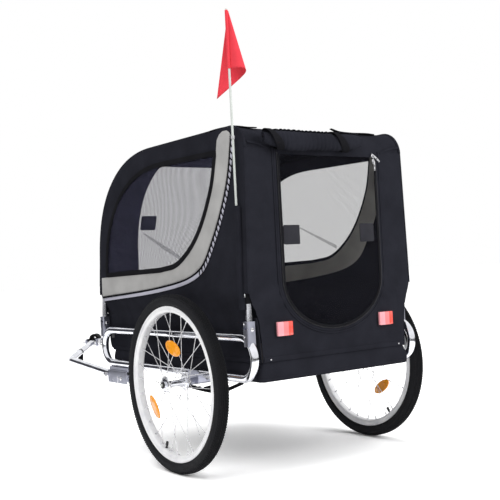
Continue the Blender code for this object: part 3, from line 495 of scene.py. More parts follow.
SIDE_NET = Net("window_net", "mesh_cloth", (0.05, 0.05, 0.085), 0.8, cover=0.42)
DOOR_NET = Net("door_net", "mesh_cloth", (0.03, 0.03, 0.04), 0.8, cover=0.12)
ALUMINIUM = Metal("polished_aluminium", "polished_aluminium", (0.8, 0.81, 0.86), 0.13, wear=0.05)
RIM_METAL = Metal("brushed_rim", "polished_aluminium", (0.95, 0.95, 0.98), 0.42, bare=0.12)
SPOKE_METAL = Metal("spoke_steel", "polished_aluminium", (0.74, 0.74, 0.76), 0.25, bare=0.45)
ZINC = Metal("zinc_plate", "zinc_steel", (0.42, 0.43, 0.51), 0.34, 0.06)
BRIGHT_STEEL = Metal("bright_steel", "zinc_steel", (0.74, 0.74, 0.76), 0.18)
TYRE_RUBBER = Rubber("tyre_rubber", "rubber", (0.017, 0.0172, 0.0195), 0.62)
JAW_RUBBER = Rubber("jaw_rubber", "rubber", (0.008, 0.008, 0.009), 0.55)
BLACK_PLASTIC = Finish("black_plastic", "black_cloth", (0.008, 0.008, 0.009), 0.4)
BOARD = Finish("floor_board", "board", (0.055, 0.048, 0.042), 0.75)
# Each reflector's second colour is its painted highlight.
ORANGE = Reflector("orange_reflector", "orange_plastic", (1.0, 0.36, 0.0), 0.25,
                   glow=(1.0, 0.62, 0.03))
RED = Reflector("red_reflector", "red_plastic", (0.92, 0.075, 0.045), 0.22,
                glow=(0.92, 0.36, 0.4))
THREAD = Cloth("sewing_thread", "black_cloth", (0.035, 0.035, 0.04), 0.5, pitch=0.0008)
ZIP_COIL = Finish("zip_coil", "black_cloth", (0.022, 0.022, 0.025), 0.35)
FLAG_CLOTH = Cloth("red_flag", "red_cloth", (0.76, 0.057, 0.078), 0.55, 0.08, 0.001, 0.0002, 0.05)
WHITE_ROD = Finish("white_rod", "white_rod", (0.58, 0.61, 0.58), 0.35, 0.05)
GREY_ROD = Finish("grey_rod", "white_rod", (0.45, 0.45, 0.46), 0.35, 0.1)


# Lines
def arc(centre: Point2, radius: float | Point2, start: float, end: float,
        count: int) -> list[Point2]:
    """Points on an arc.

    Args:
        centre: the arc's centre.
        radius: its radius, or its two semi-axes.
        start: the first angle in degrees.
        end: the last angle in degrees.
        count: the number of steps.

    Returns:
        The points.
    """
    a, b = radius if isinstance(radius, tuple) else (radius, radius)
    turns = [math.radians(start + (end - start) * i / count) for i in range(count + 1)]
    return [(centre[0] + a * math.cos(t), centre[1] + b * math.sin(t)) for t in turns]


def arch_line(centre: Point2, axes: Point2, count: int, power: float = 2.3) -> list[Point2]:
    """Points on a quarter superellipse, the squarer form of the front arch, from its top."""
    found = []
    for i in range(count + 1):
        turn = math.radians(90 - 90 * i / count)
        across, rise = abs(math.cos(turn)), abs(math.sin(turn))
        found.append((centre[0] + axes[0] * across ** (2 / power),
                      centre[1] + axes[1] * rise ** (2 / power)))
    return found


def smooth(points: Line, steps: int = 6) -> list[tuple[float, ...]]:
    """A Catmull-Rom line through the points, in two or three dimensions."""
    known = [Vector(p) for p in points]
    ends = [2 * known[0] - known[1], *known, 2 * known[-1] - known[-2]]
    found = []
    for a, b, c, d in zip(ends, ends[1:], ends[2:], ends[3:]):
        for i in range(steps):
            t = i / steps
            found.append(tuple(0.5 * (2 * b + (c - a) * t + (2 * a - 5 * b + 4 * c - d) * t * t
                                      + (3 * b - a - 3 * c + d) * t ** 3)))
    return [*found, tuple(known[-1])]


def filleted(corners: Line, radius: float, count: int = 10) -> list[Point3]:
    """A line through corners in space, each inner one rounded to this radius."""
    known = [Vector(c) for c in corners]
    path = [known[0]]
    for before, corner, after in zip(known, known[1:], known[2:]):
        back = (before - corner).normalized()
        ahead = (after - corner).normalized()
        half = back.angle(ahead) / 2
        centre = corner + (back + ahead).normalized() * radius / math.sin(half)
        start = corner + back * radius / math.tan(half) - centre
        end = corner + ahead * radius / math.tan(half) - centre
        path += [centre + start.slerp(end, i / count).normalized() * radius
                 for i in range(count + 1)]
    return [tuple(p) for p in (*path, known[-1])]


def spaced(points: Line, gap: float, closed: bool = False) -> list[Vector]:
    """The same line with points this far apart, its ends kept."""
    line = [Vector(p) for p in points]
    if closed:
        line.append(line[0])
    runs = [0.0]
    for a, b in zip(line, line[1:]):
        runs.append(runs[-1] + (b - a).length)
    count = max(2, round(runs[-1] / gap))
    found = []
    place = 0
    for i in range(count + (0 if closed else 1)):
        run = runs[-1] * i / count
        while place < len(line) - 2 and runs[place + 1] < run:
            place += 1
        span = max(1e-12, runs[place + 1] - runs[place])
        found.append(line[place].lerp(line[place + 1], (run - runs[place]) / span))
    return found


def corner_keeping(points: Outline, gap: float) -> list[Point2]:
    """A closed outline with points added between its corners, and every corner kept."""
    found: list[Point2] = []
    for a, b in zip(points, [*points[1:], points[0]]):
        count = max(1, math.ceil(math.dist(a, b) / gap))
        found += [(a[0] + (b[0] - a[0]) * i / count, a[1] + (b[1] - a[1]) * i / count)
                  for i in range(count)]
    return found


def both_ways(half: Outline) -> list[Point2]:
    """A profile's first half, down to the middle, with its mirror image added."""
    return [*half, *[(a, -b) for a, b in reversed(half)]]


def inside(points: np.ndarray, outline: Outline) -> np.ndarray:
    """Which of these points lie inside a closed outline."""
    ring = np.asarray(outline, float)
    after = np.roll(ring, -1, axis=0)
    x, y = points[:, 0, None], points[:, 1, None]
    spans = (ring[:, 1] > y) != (after[:, 1] > y)
    rise = np.where(after[:, 1] == ring[:, 1], 1e-12, after[:, 1] - ring[:, 1])
    cross = ring[:, 0] + (y - ring[:, 1]) * (after[:, 0] - ring[:, 0]) / rise
    return (spans & (x < cross)).sum(axis=1) % 2 == 1


def far_from(points: np.ndarray, outline: Outline, gap: float) -> np.ndarray:
    """Which of these points are further than a gap from a closed outline's points."""
    near = np.full(len(points), np.inf)
    for place in np.asarray(outline, float):
        near = np.minimum(near, np.hypot(*(points - place).T))
    return near > gap


def rounded_box(width: float, height: float, radius: float, steps: int = 5) -> list[Point2]:
    """A rounded rectangle's outline round the origin."""
    x, y = width / 2 - radius, height / 2 - radius
    corners = ((x, y), (-x, y), (-x, -y), (x, -y))
    return [p for i, corner in enumerate(corners)
            for p in arc(corner, radius, 90 * i, 90 * i + 90, steps)]


def band(width: float, thickness: float) -> list[Point2]:
    """A flat profile with rounded edges, wide across and thin upwards."""
    return rounded_box(width, thickness, thickness * 0.48, 3)


def circle(radius: float, count: int = 20) -> list[Point2]:
    """A round profile."""
    return arc((0, 0), radius, 0, 360, count)[:-1]


# Places
def moved(x: float, y: float, z: float) -> Matrix:
    """The matrix that moves the origin to this place."""
    return Matrix.Translation((x, y, z))


def along(axis: Sequence[float], centre: Sequence[float] = (0, 0, 0)) -> Matrix:
    """The matrix that turns +Z to an axis and moves the origin to a centre."""
    turn = Vector((0, 0, 1)).rotation_difference(Vector(axis)).to_matrix().to_4x4()
    return Matrix.Translation(Vector(centre)) @ turn


def standing(x: float, y: float, z: float) -> Matrix:
    """The matrix that stands a flat outline up at this place, so that it faces backwards."""
    return Matrix(((1, 0, 0, x), (0, 0, -1, y), (0, 1, 0, z), (0, 0, 0, 1)))


def axes_at(place: Sequence[float], *axes: Sequence[float]) -> Matrix:
    """The matrix with these three axes at this place."""
    turn = Matrix(axes).transposed().to_4x4()
    turn.translation = Vector(place)
    return turn


# Meshes
def linked(name: str, data: bpy.types.ID) -> Obj:
    """A new object of a mesh, a lamp or a camera, linked to the scene."""
    obj = bpy.data.objects.new(name, data)
    bpy.context.scene.collection.objects.link(obj)
    return obj


def mesh_of(name: str, points: Line, faces: Sequence[Sequence[int]] = (),
            uvs: Sequence[Point2] | None = None, edges: Sequence[tuple[int, int]] = ()) -> Obj:
    """A mesh object.

    Args:
        name: its name.
        points: its vertices.
        faces: its faces, as vertex numbers.
        uvs: a place on the UV map for each vertex, in metres.
        edges: its bare edges, as vertex numbers.

    Returns:
        The object, linked to the scene.
    """
    mesh = bpy.data.meshes.new(name)
    mesh.from_pydata([tuple(p) for p in points], list(edges), [tuple(f) for f in faces])
    if uvs is not None:
        layer = mesh.uv_layers.new(name="UVMap")
        for loop in mesh.loops:
            layer.data[loop.index].uv = uvs[loop.vertex_index]
    return linked(name, mesh)


def turned_out(bm: bmesh.types.BMesh) -> None:
    """Turns the faces of a closed bmesh outwards."""
    bmesh.ops.recalc_face_normals(bm, faces=bm.faces)
    if bm.calc_volume(signed=True) < 0:
        bmesh.ops.reverse_faces(bm, faces=bm.faces)


def of_bmesh(name: str, bm: bmesh.types.BMesh) -> Obj:
    """An object of a bmesh, with its doubles merged and its faces turned outwards."""
    bmesh.ops.remove_doubles(bm, verts=bm.verts, dist=WELD)
    turned_out(bm)
    mesh = bpy.data.meshes.new(name)
    bm.to_mesh(mesh)
    bm.free()
    return linked(name, mesh)


def applied(obj: Obj) -> Obj:
    """The object with its modifiers made part of its mesh."""
    bpy.context.view_layer.update()
    graph = bpy.context.evaluated_depsgraph_get()
    mesh = bpy.data.meshes.new_from_object(obj.evaluated_get(graph), depsgraph=graph)
    obj.modifiers.clear()
    obj.data = mesh
    return obj


def thickened(obj: Obj, thickness: float, offset: float = -1.0) -> Obj:
    """A sheet given its thickness."""
    shell = obj.modifiers.new("thickness", "SOLIDIFY")
    shell.thickness = thickness
    shell.offset = offset
    shell.use_even_offset = True
    return applied(obj)


def rounded(obj: Obj, width: float, segments: int = 2) -> Obj:
    """An object with its sharp edges rounded."""
    bevel = obj.modifiers.new("edges", "BEVEL")
    bevel.width = width
    bevel.segments = segments
    bevel.limit_method = "ANGLE"
    bevel.angle_limit = math.radians(40)
    return applied(obj)


def cut(obj: Obj, *cutters: Obj) -> Obj:
    """An object with the cutters' space taken out of it, and the cutters removed."""
    for cutter in cutters:
        taken = obj.modifiers.new("cut", "BOOLEAN")
        taken.operation = "DIFFERENCE"
        taken.solver = "EXACT"
        taken.object = cutter
    applied(obj)
    for cutter in cutters:
        bpy.data.objects.remove(cutter, do_unlink=True)
    return obj


def joined(name: str, pieces: Iterable[Obj]) -> Obj:
    """Several objects as one mesh."""
    bm = bmesh.new()
    for piece in pieces:
        piece.data.transform(piece.matrix_world)
        bm.from_mesh(piece.data)
        bpy.data.objects.remove(piece, do_unlink=True)
    mesh = bpy.data.meshes.new(name)
    bm.to_mesh(mesh)
    bm.free()
    return linked(name, mesh)


def placed(obj: Obj, matrix: Matrix) -> Obj:
    """An object with its mesh moved by a matrix."""
    obj.data.transform(matrix)
    if matrix.determinant() < 0:
        obj.data.flip_normals()
    return obj


def lathe(name: str, profile: Outline, steps: int = 32, matrix: Matrix | None = None) -> Obj:
    """A solid of revolution about Z.

    Args:
        name: its name.
        profile: (radius, height) points, closed on itself where it doesn't meet the axis.
        steps: the number of steps round the axis.
        matrix: where it goes.

    Returns:
        The object.
    """
    bm = bmesh.new()
    rings = []
    for radius, height in profile:
        if radius < WELD:
            rings.append([bm.verts.new((0, 0, height))] * steps)
            continue
        rings.append([bm.verts.new((radius * math.cos(math.tau * i / steps),
                                    radius * math.sin(math.tau * i / steps), height))
                      for i in range(steps)])
    closed = profile[0][0] > WELD
    pairs = list(zip(rings, rings[1:])) + ([(rings[-1], rings[0])] if closed else [])
    for ring, after in pairs:
        for i in range(steps):
            j = (i + 1) % steps
            unique = list(dict.fromkeys((ring[i], ring[j], after[j], after[i])))
            if len(unique) > 2:
                bm.faces.new(unique)
    obj = of_bmesh(name, bm)
    return placed(obj, matrix) if matrix else obj


def rod(name: str, radius: float, reach: float, steps: int, centre: Sequence[float]) -> Obj:
    """A plain round rod across the trailer, this far to both sides of its centre."""
    return lathe(name, both_ways([(0, reach), (radius, reach)]), steps, along((1, 0, 0), centre))


def frames_along(path: Sequence[Vector], closed: bool,
                 up: Vector | Callable[[Vector], Vector] | None) -> list[tuple[Vector, Vector]]:
    """Two unit vectors across a path at each of its points, without twist or held to an up."""
    count = len(path)
    tangents = []
    for i, point in enumerate(path):
        before = path[i - 1] if closed or i else point
        after = path[(i + 1) % count] if closed or i < count - 1 else point
        tangents.append((after - before).normalized())
    across = tangents[0].orthogonal().normalized()
    found = []
    for point, tangent in zip(path, tangents):
        if up is not None:
            across = (up(point) if callable(up) else up).cross(tangent)
        across = (across - across.dot(tangent) * tangent).normalized()
        found.append((across, tangent.cross(across)))
    return found


def sweep(name: str, path: Line, profile: Outline, closed: bool = False,
          up: Vector | Callable[[Vector], Vector] | None = None,
          scale: Callable[[float], float] | None = None) -> Obj:
    """A closed profile carried along a path, with a UV map in metres.

    Args:
        name: the object's name.
        path: its centre line.
        profile: (across, up) points of the closed profile.
        closed: whether the path closes on itself.
        up: the up direction, or what gives it at a point. Without it the profile doesn't twist.
        scale: the profile's size at each share of the path's length.

    Returns:
        The object.
    """
    line = [Vector(p) for p in path]
    size, rings = len(profile), len(line)
    girth = [0.0]
    for a, b in zip(profile, [*profile[1:], profile[0]]):
        girth.append(girth[-1] + math.dist(a, b))
    points, uvs, faces = [], [], []
    run = 0.0
    total = sum((b - a).length for a, b in zip(line, line[1:])) or 1.0
    for i, (point, (across, rise)) in enumerate(zip(line, frames_along(line, closed, up))):
        if i:
            run += (point - line[i - 1]).length
        grown = scale(run / total) if scale else 1.0
        points += [point + across * x * grown + rise * y * grown for x, y in profile]
        uvs += [(girth[j], run) for j in range(size)]
    for i in range(rings if closed else rings - 1):
        for j in range(size):
            k, after = (j + 1) % size, (i + 1) % rings
            faces.append((i * size + j, i * size + k, after * size + k, after * size + j))
    if not closed:
        faces.append(tuple(range(size))[::-1])
        faces.append(tuple((rings - 1) * size + j for j in range(size)))
    obj = mesh_of(name, points, faces, uvs)
    bm = bmesh.new()
    bm.from_mesh(obj.data)
    turned_out(bm)
    bm.to_mesh(obj.data)
    bm.free()
    return obj


def plate(name: str, outline: Outline, thickness: float, holes: Sequence[Outline] = (),
          matrix: Matrix | None = None, edge: float = 0.0) -> Obj:
    """A flat plate in XY with holes and rounded edges, centred on Z = 0."""
    curve = bpy.data.curves.new(name, "CURVE")
    curve.dimensions = "2D"
    curve.fill_mode = "BOTH"
    curve.extrude = thickness / 2
    for points in (outline, *holes):
        spline = curve.splines.new("POLY")
        spline.points.add(len(points) - 1)
        spline.use_cyclic_u = True
        for slot, (x, y) in zip(spline.points, points):
            slot.co = (x, y, 0, 1)
    drawn = bpy.data.objects.new(name, curve)
    bm = bmesh.new()
    bm.from_mesh(bpy.data.meshes.new_from_object(drawn))
    bpy.data.objects.remove(drawn, do_unlink=True)
    obj = of_bmesh(name, bm)
    if edge:
        rounded(obj, edge, 1)
    return placed(obj, matrix) if matrix else obj


def pads(name: str, width: float, height: float, radius: float, thickness: float, edge: float,
         *places: Matrix) -> Obj:
    """Rounded rectangular plates of one size at these places, as one mesh."""
    return joined(name, [plate("pad", rounded_box(width, height, radius), thickness,
                               matrix=place, edge=edge) for place in places])


def sheet_mesh(name: str, outline: Outline, holes: Sequence[Outline], gap: float,
               lay: Callable[[float, float], Vector]) -> Obj:
    """A sheet cut to an outline, meshed with even triangles and laid in space.

    Args:
        name: the object's name.
        outline: the cut's outline, in metres.
        holes: outlines of its openings.
        gap: the triangles' size.
        lay: where a point of the flat cut lies in space.

    Returns:
        The object, with the flat cut as its UV map.
    """
    rings = [corner_keeping(ring, gap) for ring in (outline, *holes)]
    low, high = np.min(rings[0], axis=0), np.max(rings[0], axis=0)
    xs, ys = (np.arange(low[k] + gap / 2, high[k], gap) for k in (0, 1))
    grid = np.array([(x + (gap / 4 if j % 2 else -gap / 4), y)
                     for j, y in enumerate(ys) for x in xs])

    def held(places: np.ndarray) -> np.ndarray:
        within = inside(places, rings[0])
        for ring in rings[1:]:
            within &= ~inside(places, ring)
        return within

    keep = held(grid)
    points, edges = [], []
    for ring in rings:
        keep &= far_from(grid, ring, gap * 0.62)
        start, count = len(points), len(ring)
        edges += [(start + i, start + (i + 1) % count) for i in range(count)]
        points += [Vector(p) for p in ring]
    points += [Vector(p) for p in grid[keep]]
    flat, _, faces, *_ = delaunay_2d_cdt(points, edges, [], 2, 1e-7)
    centres = np.array([np.mean([flat[i] for i in face], axis=0) for face in faces])
    kept = [face for face, within in zip(faces, held(centres)) if within]
    return mesh_of(name, [lay(p.x, p.y) for p in flat], kept, [(p.x, p.y) for p in flat])


def grid_mesh(name: str, columns: int, rows: int, lay: Callable[[float, float], Vector],
              size: Point2) -> Obj:
    """A sheet of even quads.

    Args:
        name: the object's name.
        columns: the number of quads across.
        rows: the number of quads along.
        lay: where a share across and a share along lie in space.
        size: the flat sheet's width and length, for its UV map.

    Returns:
        The object.
    """
    shares = [(i / columns, j / rows) for j in range(rows + 1) for i in range(columns + 1)]
    starts = [j * (columns + 1) + i for j in range(rows) for i in range(columns)]
    faces = [(a, a + 1, a + columns + 2, a + columns + 1) for a in starts]
    return mesh_of(name, [lay(a, b) for a, b in shares], faces,
                   [(size[0] * a, size[1] * b) for a, b in shares])


def sheet_size(*outlines: Outline) -> dict[str, object]:
    width, length = np.ptp(np.asarray(outlines[0], float), axis=0)
    area = 0.0
    for index, outline in enumerate(outlines):
        x, y = np.asarray(outline, float).T
        part = abs(np.dot(x, np.roll(y, -1)) - np.dot(y, np.roll(x, -1))) / 2
        area += -part if index else part
    return {"flat": (float(width), float(length)), "area": float(area)}


def rivet(radius: float, matrix: Matrix) -> Obj:
    """A domed rivet head with a short shank, its axis along +Z before it is placed."""
    dome = [(0, radius * 0.55), (radius * 0.5, radius * 0.48), (radius * 0.86, radius * 0.24),
            (radius, 0), (radius * 0.45, -radius * 0.1), (0, -radius * 0.1)]
    return lathe("rivet", dome, 14, matrix)


def hex_nut(width: float, height: float, *place: float) -> Obj:
    """A hexagonal nut or bolt head with rounded edges."""
    return plate("nut", circle(width / math.sqrt(3), 6), height, matrix=moved(*place),
                 edge=height * 0.12)


# Pieces made by Geometry Nodes
class NodeTree:
    """A Geometry Nodes tree with named inputs, and the way to use it on an object."""

    def __init__(self, name: str, **inputs: str) -> None:
        """Starts a tree.

        Args:
            name: the tree's name.
            **inputs: the type of each input besides the geometry and the material.
        """
        self.tree = bpy.data.node_groups.new(name, "GeometryNodeTree")
        self.board = NodeBoard(self.tree)
        face = self.tree.interface
        for way in ("INPUT", "OUTPUT"):
            face.new_socket("Geometry", in_out=way, socket_type="NodeSocketGeometry")
        self.keys = {}
        for label, kind in {**inputs, "Material": "Material"}.items():
            socket = face.new_socket(label, in_out="INPUT", socket_type=f"NodeSocket{kind}")
            self.keys[label] = socket.identifier
        self.given = self.tree.nodes.new("NodeGroupInput").outputs

    def copies(self, points: Socket, turn: Socket) -> Socket:
        """The template on each of these points, turned."""
        source = self.board.add("GeometryNodeObjectInfo", Object=self.given["Template"])
        return self.board.add("GeometryNodeInstanceOnPoints", Points=points, Rotation=turn,
                              Instance=source.outputs["Geometry"]).outputs[0]

    def finish_with(self, made: Socket) -> NodeTree:
        """Ends the tree in Realize Instances and Set Material."""
        real = self.board.add("GeometryNodeRealizeInstances", Geometry=made)
        paint = self.board.add("GeometryNodeSetMaterial", Geometry=real.outputs[0],
                               Material=self.given["Material"])
        self.board.add("NodeGroupOutput", Geometry=paint.outputs[0])
        return self

    def run(self, obj: Obj, **values: object) -> Obj:
        """Runs the tree on an object and keeps the result as its mesh.

        Args:
            obj: the object that carries the tree's input.
            **values: the tree's inputs.

        Returns:
            The same object, with a plain mesh.
        """
        modifier = obj.modifiers.new(self.tree.name, "NODES")
        modifier.node_group = self.tree
        for label, value in values.items():
            modifier[self.keys[label]] = value
        return applied(obj)


def turning_tree() -> NodeTree:
    """A tree that repeats a template about Z, at even angles from a first one."""
    made = NodeTree("repeat_about_axis", Template="Object", Count="Int", Angle="Float")
    board, given = made.board, made.given
    line = board.add("GeometryNodeMeshLine", Count=given["Count"], Offset=(0, 0, 0))
    share = board.maths("DIVIDE", board.add("GeometryNodeInputIndex").outputs[0], given["Count"])
    angle = board.maths("ADD", board.maths("MULTIPLY", share, math.tau), given["Angle"])
    turn = board.add("ShaderNodeCombineXYZ", Z=angle)
    return made.finish_with(made.copies(line.outputs[0], turn.outputs[0]))


def path_tree() -> NodeTree:
    """A tree that sets a template along the object's edges, at even distances."""
    made = NodeTree("repeat_along_path", Template="Object", Spacing="Float")
    board, given = made.board, made.given
    line = board.add("GeometryNodeMeshToCurve", Mesh=given["Geometry"])
    even = board.add("GeometryNodeResampleCurve", mode="LENGTH", Curve=line.outputs[0],
                     Length=given["Spacing"])
    tangent = board.add("GeometryNodeInputTangent").outputs[0]
    facing = board.add("FunctionNodeAlignRotationToVector", axis="X", Vector=tangent)
    return made.finish_with(made.copies(even.outputs[0], facing.outputs[0]))


def tube_tree() -> NodeTree:
    """A tree that draws a round tube along the object's edges, with closed ends."""
    made = NodeTree("tube_along_path", Radius="Float", Sides="Int")
    board, given = made.board, made.given
    line = board.add("GeometryNodeMeshToCurve", Mesh=given["Geometry"])
    ring = board.add("GeometryNodeCurvePrimitiveCircle", mode="RADIUS",
                     Resolution=given["Sides"], Radius=given["Radius"])
    body = board.add("GeometryNodeCurveToMesh", Fill_Caps=True, Curve=line.outputs[0],
                     Profile_Curve=ring.outputs[0])
    return made.finish_with(body.outputs[0])


# The bench
@dataclass
class Bench:
    """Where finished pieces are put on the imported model.

    Attributes:
        shift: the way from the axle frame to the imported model.
        count: the number of pieces so far.
    """

    shift: Vector
    count: int = 0
    around: NodeTree = field(default_factory=turning_tree)
    trail: NodeTree = field(default_factory=path_tree)
    pipe: NodeTree = field(default_factory=tube_tree)

    def tube(self, name: str, points: Line, radius: float, finish: Finish,
             closed: bool = False, sides: int = 28) -> Obj:
        """A round tube along a path.

        Args:
            name: its name.
            points: its centre line.
            radius: its radius.
            finish: its finish.
            closed: whether it closes on itself.
            sides: the number of sides.

        Returns:
            The tube.
        """
        return self.pipe.run(self.line(name, points, closed), Radius=radius, Sides=sides,
                             Material=finish.material())

    @staticmethod
    def line(name: str, points: Line, closed: bool = False) -> Obj:
        """An object of bare edges, for the trees that follow a path."""
        edges = [(i, i + 1) for i in range(len(points) - 1)]
        if closed:
            edges.append((len(points) - 1, 0))
        return mesh_of(name, points, edges=edges)

    def ring_of(self, name: str, template: Obj, count: int, finish: Finish,
                first: float = 0.0) -> Obj:
        """Copies of a template about Z, with the template removed."""
        obj = self.around.run(self.line(name, [(0, 0, 0), (0, 0, 0.001)]), Template=template,
                              Count=count, Angle=first, Material=finish.material())
        bpy.data.objects.remove(template, do_unlink=True)
        return obj

    def row_of(self, name: str, template: Obj, path: Line, spacing: float, finish: Finish,
               closed: bool = False) -> Obj:
        """Copies of a template along a path, with the template removed."""
        obj = self.trail.run(self.line(name, path, closed), Template=template, Spacing=spacing,
                             Material=finish.material())
        bpy.data.objects.remove(template, do_unlink=True)
        return obj

    def dress(self, obj: Obj, finish: Finish, crease: float) -> None:
        """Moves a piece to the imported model's axle, and gives it its finish and its shading."""
        obj.data.transform(Matrix.Translation(self.shift))
        obj.data.materials.clear()
        obj.data.materials.append(finish.material())
        obj.data.shade_smooth()
        if crease < 180:
            obj.data.set_sharp_from_angle(angle=math.radians(crease))

    def note(self, obj: Obj, where: str, finish: Finish, nodes: Sequence[str]) -> Obj:
        """Names a piece's slot and the CAD nodes that it stands for, and reports it."""
        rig.slot(obj, finish.slot)
        if nodes:
            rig.replaces(obj, *nodes)
        self.count += 1
        LOG.info("%3d %-32s %-14s %6d faces", self.count, obj.name, where, len(obj.data.polygons))
        return obj

    def fit(self, obj: Obj, body: str, finish: Finish, *nodes: str, crease: float = 35.0) -> Obj:
        """Finishes a piece and puts it on its body.

        Args:
            obj: the piece, drawn in the axle frame.
            body: the CAD body that it rides on.
            finish: its finish.
            *nodes: the CAD nodes that it stands for.
            crease: the angle in degrees past which an edge stays sharp.

        Returns:
            The piece.
        """
        self.dress(obj, finish, crease)
        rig.ride(obj, body)
        return self.note(obj, body, finish, nodes)

    def sew(self, obj: Obj, side: Side, finish: Finish, *nodes: str, crease: float = 60.0) -> Obj:
        """Finishes cloth that hangs on a side frame above and on the rails below.

        Args:
            obj: the piece, drawn in the axle frame.
            side: the side frame that it is sewn round.
            finish: its finish.
            *nodes: the CAD nodes that it stands for.
            crease: the angle in degrees past which an edge stays sharp.

        Returns:
            The piece.
        """
        self.dress(obj, finish, crease)
        low_z, high_z = 0.4 + self.shift.z, 0.455 + self.shift.z
        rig.blend(obj, "base", f"{side.word}_frame", start=(0, 0, low_z), end=(0, 0, high_z))
        return self.note(obj, f"{side.word}_frame", finish, nodes)

    def sink(self, obj: Obj, finish: Finish, *nodes: str, body: str = "base",
             crease: float = 60.0) -> Obj:
        """Finishes a piece between the side frames, which sinks as they fold.

        Args:
            obj: the piece, drawn in the axle frame.
            finish: its finish.
            *nodes: the CAD nodes that it stands for.
            body: the CAD body that it rides on.
            crease: the angle in degrees past which an edge stays sharp.

        Returns:
            The piece.
        """
        self.fit(obj, body, finish, *nodes, crease=crease)
        hem_z, keep = 0.3125 + self.shift.z, 0.32
        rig.squash(obj, "left_frame_fold", axis=(0, 0, 1), anchor=(0, 0, hem_z), keep=keep)
        return obj


# The frame
@dataclass(frozen=True)
class SideLoops:
    """A closed loop of tube on each side: two rails with half circles between them."""

    x: float = 0.273
    tube_r: float = 0.011
    top_z: float = 0.376
    low_z: float = 0.273
    rear_y: float = -0.276
    front_y: float = 0.545

    def path(self, side: Side, steps: int = 28) -> list[Point3]:
        """The loop's centre line.

        Args:
            side: which loop.
            steps: the number of steps in each half circle.

        Returns:
            Its points.
        """
        radius = (self.top_z - self.low_z) / 2
        middle = (self.top_z + self.low_z) / 2
        front = arc((self.front_y - radius, middle), radius, -90, 90, steps)
        rear = arc((self.rear_y + radius, middle), radius, 90, 270, steps)
        return [(side.value * self.x, y, z) for y, z in (*front, *rear)]

    def seat(self, bench: Bench, side: Side) -> Obj:
        """The loop with a little play round it, for cutting its seat out of another part."""
        return bench.tube("seat", self.path(side), self.tube_r + 0.0002, ZINC, closed=True)

    def build(self, bench: Bench) -> None:
        """Makes both loops."""
        for side in Side:
            loop = bench.tube(f"{side.word}_rail_loop", self.path(side), self.tube_r, ALUMINIUM,
                              closed=True, sides=36)
            bench.fit(loop, "base", ALUMINIUM, f"{side.word}_loop", crease=180)


@dataclass(frozen=True)
class SideFrames:
    """The bent tube on each side that holds the cabin up, nested so that the two can fold."""

    pivot_z: float = 0.398
    tube_r: float = 0.0085
    top_z: float = 0.894
    top_x: float = 0.258
    end: float = 0.0055
    straight_z: float = 0.43
    nesting: float = 0.026
    rear_y: float = -0.2605
    front_y: float = 0.538
    rear_bend: float = 0.05
    arch_centre: Point2 = (0.2, 0.6)
    arch: Point2 = (0.328, 0.294)
    loops: SideLoops = SideLoops()

    def uprights(self, side: Side) -> Point2:
        """Where the frame's rear and front ends are hinged."""
        inset = 0.0 if side is Side.LEFT else self.nesting
        return self.rear_y + inset, self.front_y - inset

    def lean(self, z: float) -> float:
        """The tube's distance from the middle at this height."""
        share = (z - self.pivot_z) / (self.top_z - self.pivot_z)
        return self.loops.x + (self.top_x - self.loops.x) * share

    def path(self, side: Side) -> list[Point3]:
        """Rear upright, bend, roof rail, front arch and front upright."""
        rear_y, front_y = self.uprights(side)
        low_z = self.pivot_z - self.end
        bend = (rear_y + self.rear_bend, self.top_z - self.rear_bend)
        inset = 0.0 if side is Side.LEFT else self.nesting
        line = [(rear_y, low_z), (rear_y, self.straight_z)]
        line += arc(bend, self.rear_bend, 180, 90, 14)
        line += arch_line(self.arch_centre, (self.arch[0] - inset, self.arch[1]), 44)
        line += [(front_y, self.straight_z), (front_y, low_z)]
        return [(side.value * self.lean(z), y, z) for y, z in line]

    def sleeved(self, side: Side) -> list[Point3]:
        """The stretch of the tube that the cabin's cloth sleeve covers."""
        rear_y, front_y = self.uprights(side)
        rear_z, front_z = 0.462, 0.487
        return [(side.value * self.lean(rear_z), rear_y, rear_z), *self.path(side)[2:-2],
                (side.value * self.lean(front_z), front_y, front_z)]

    def build(self, bench: Bench) -> None:
        """Makes both frames."""
        for side in Side:
            hoop = bench.tube(f"{side.word}_bent_frame_tube", self.path(side), self.tube_r,
                              ALUMINIUM)
            bench.fit(hoop, f"{side.word}_frame", ALUMINIUM, f"{side.word}_side_frame",
                      crease=50)
            sleeve = bench.tube(f"{side.word}_tube_sleeve", self.sleeved(side),
                                self.tube_r + 0.0006, BINDING)
            bench.fit(sleeve, f"{side.word}_frame", BINDING, crease=50)


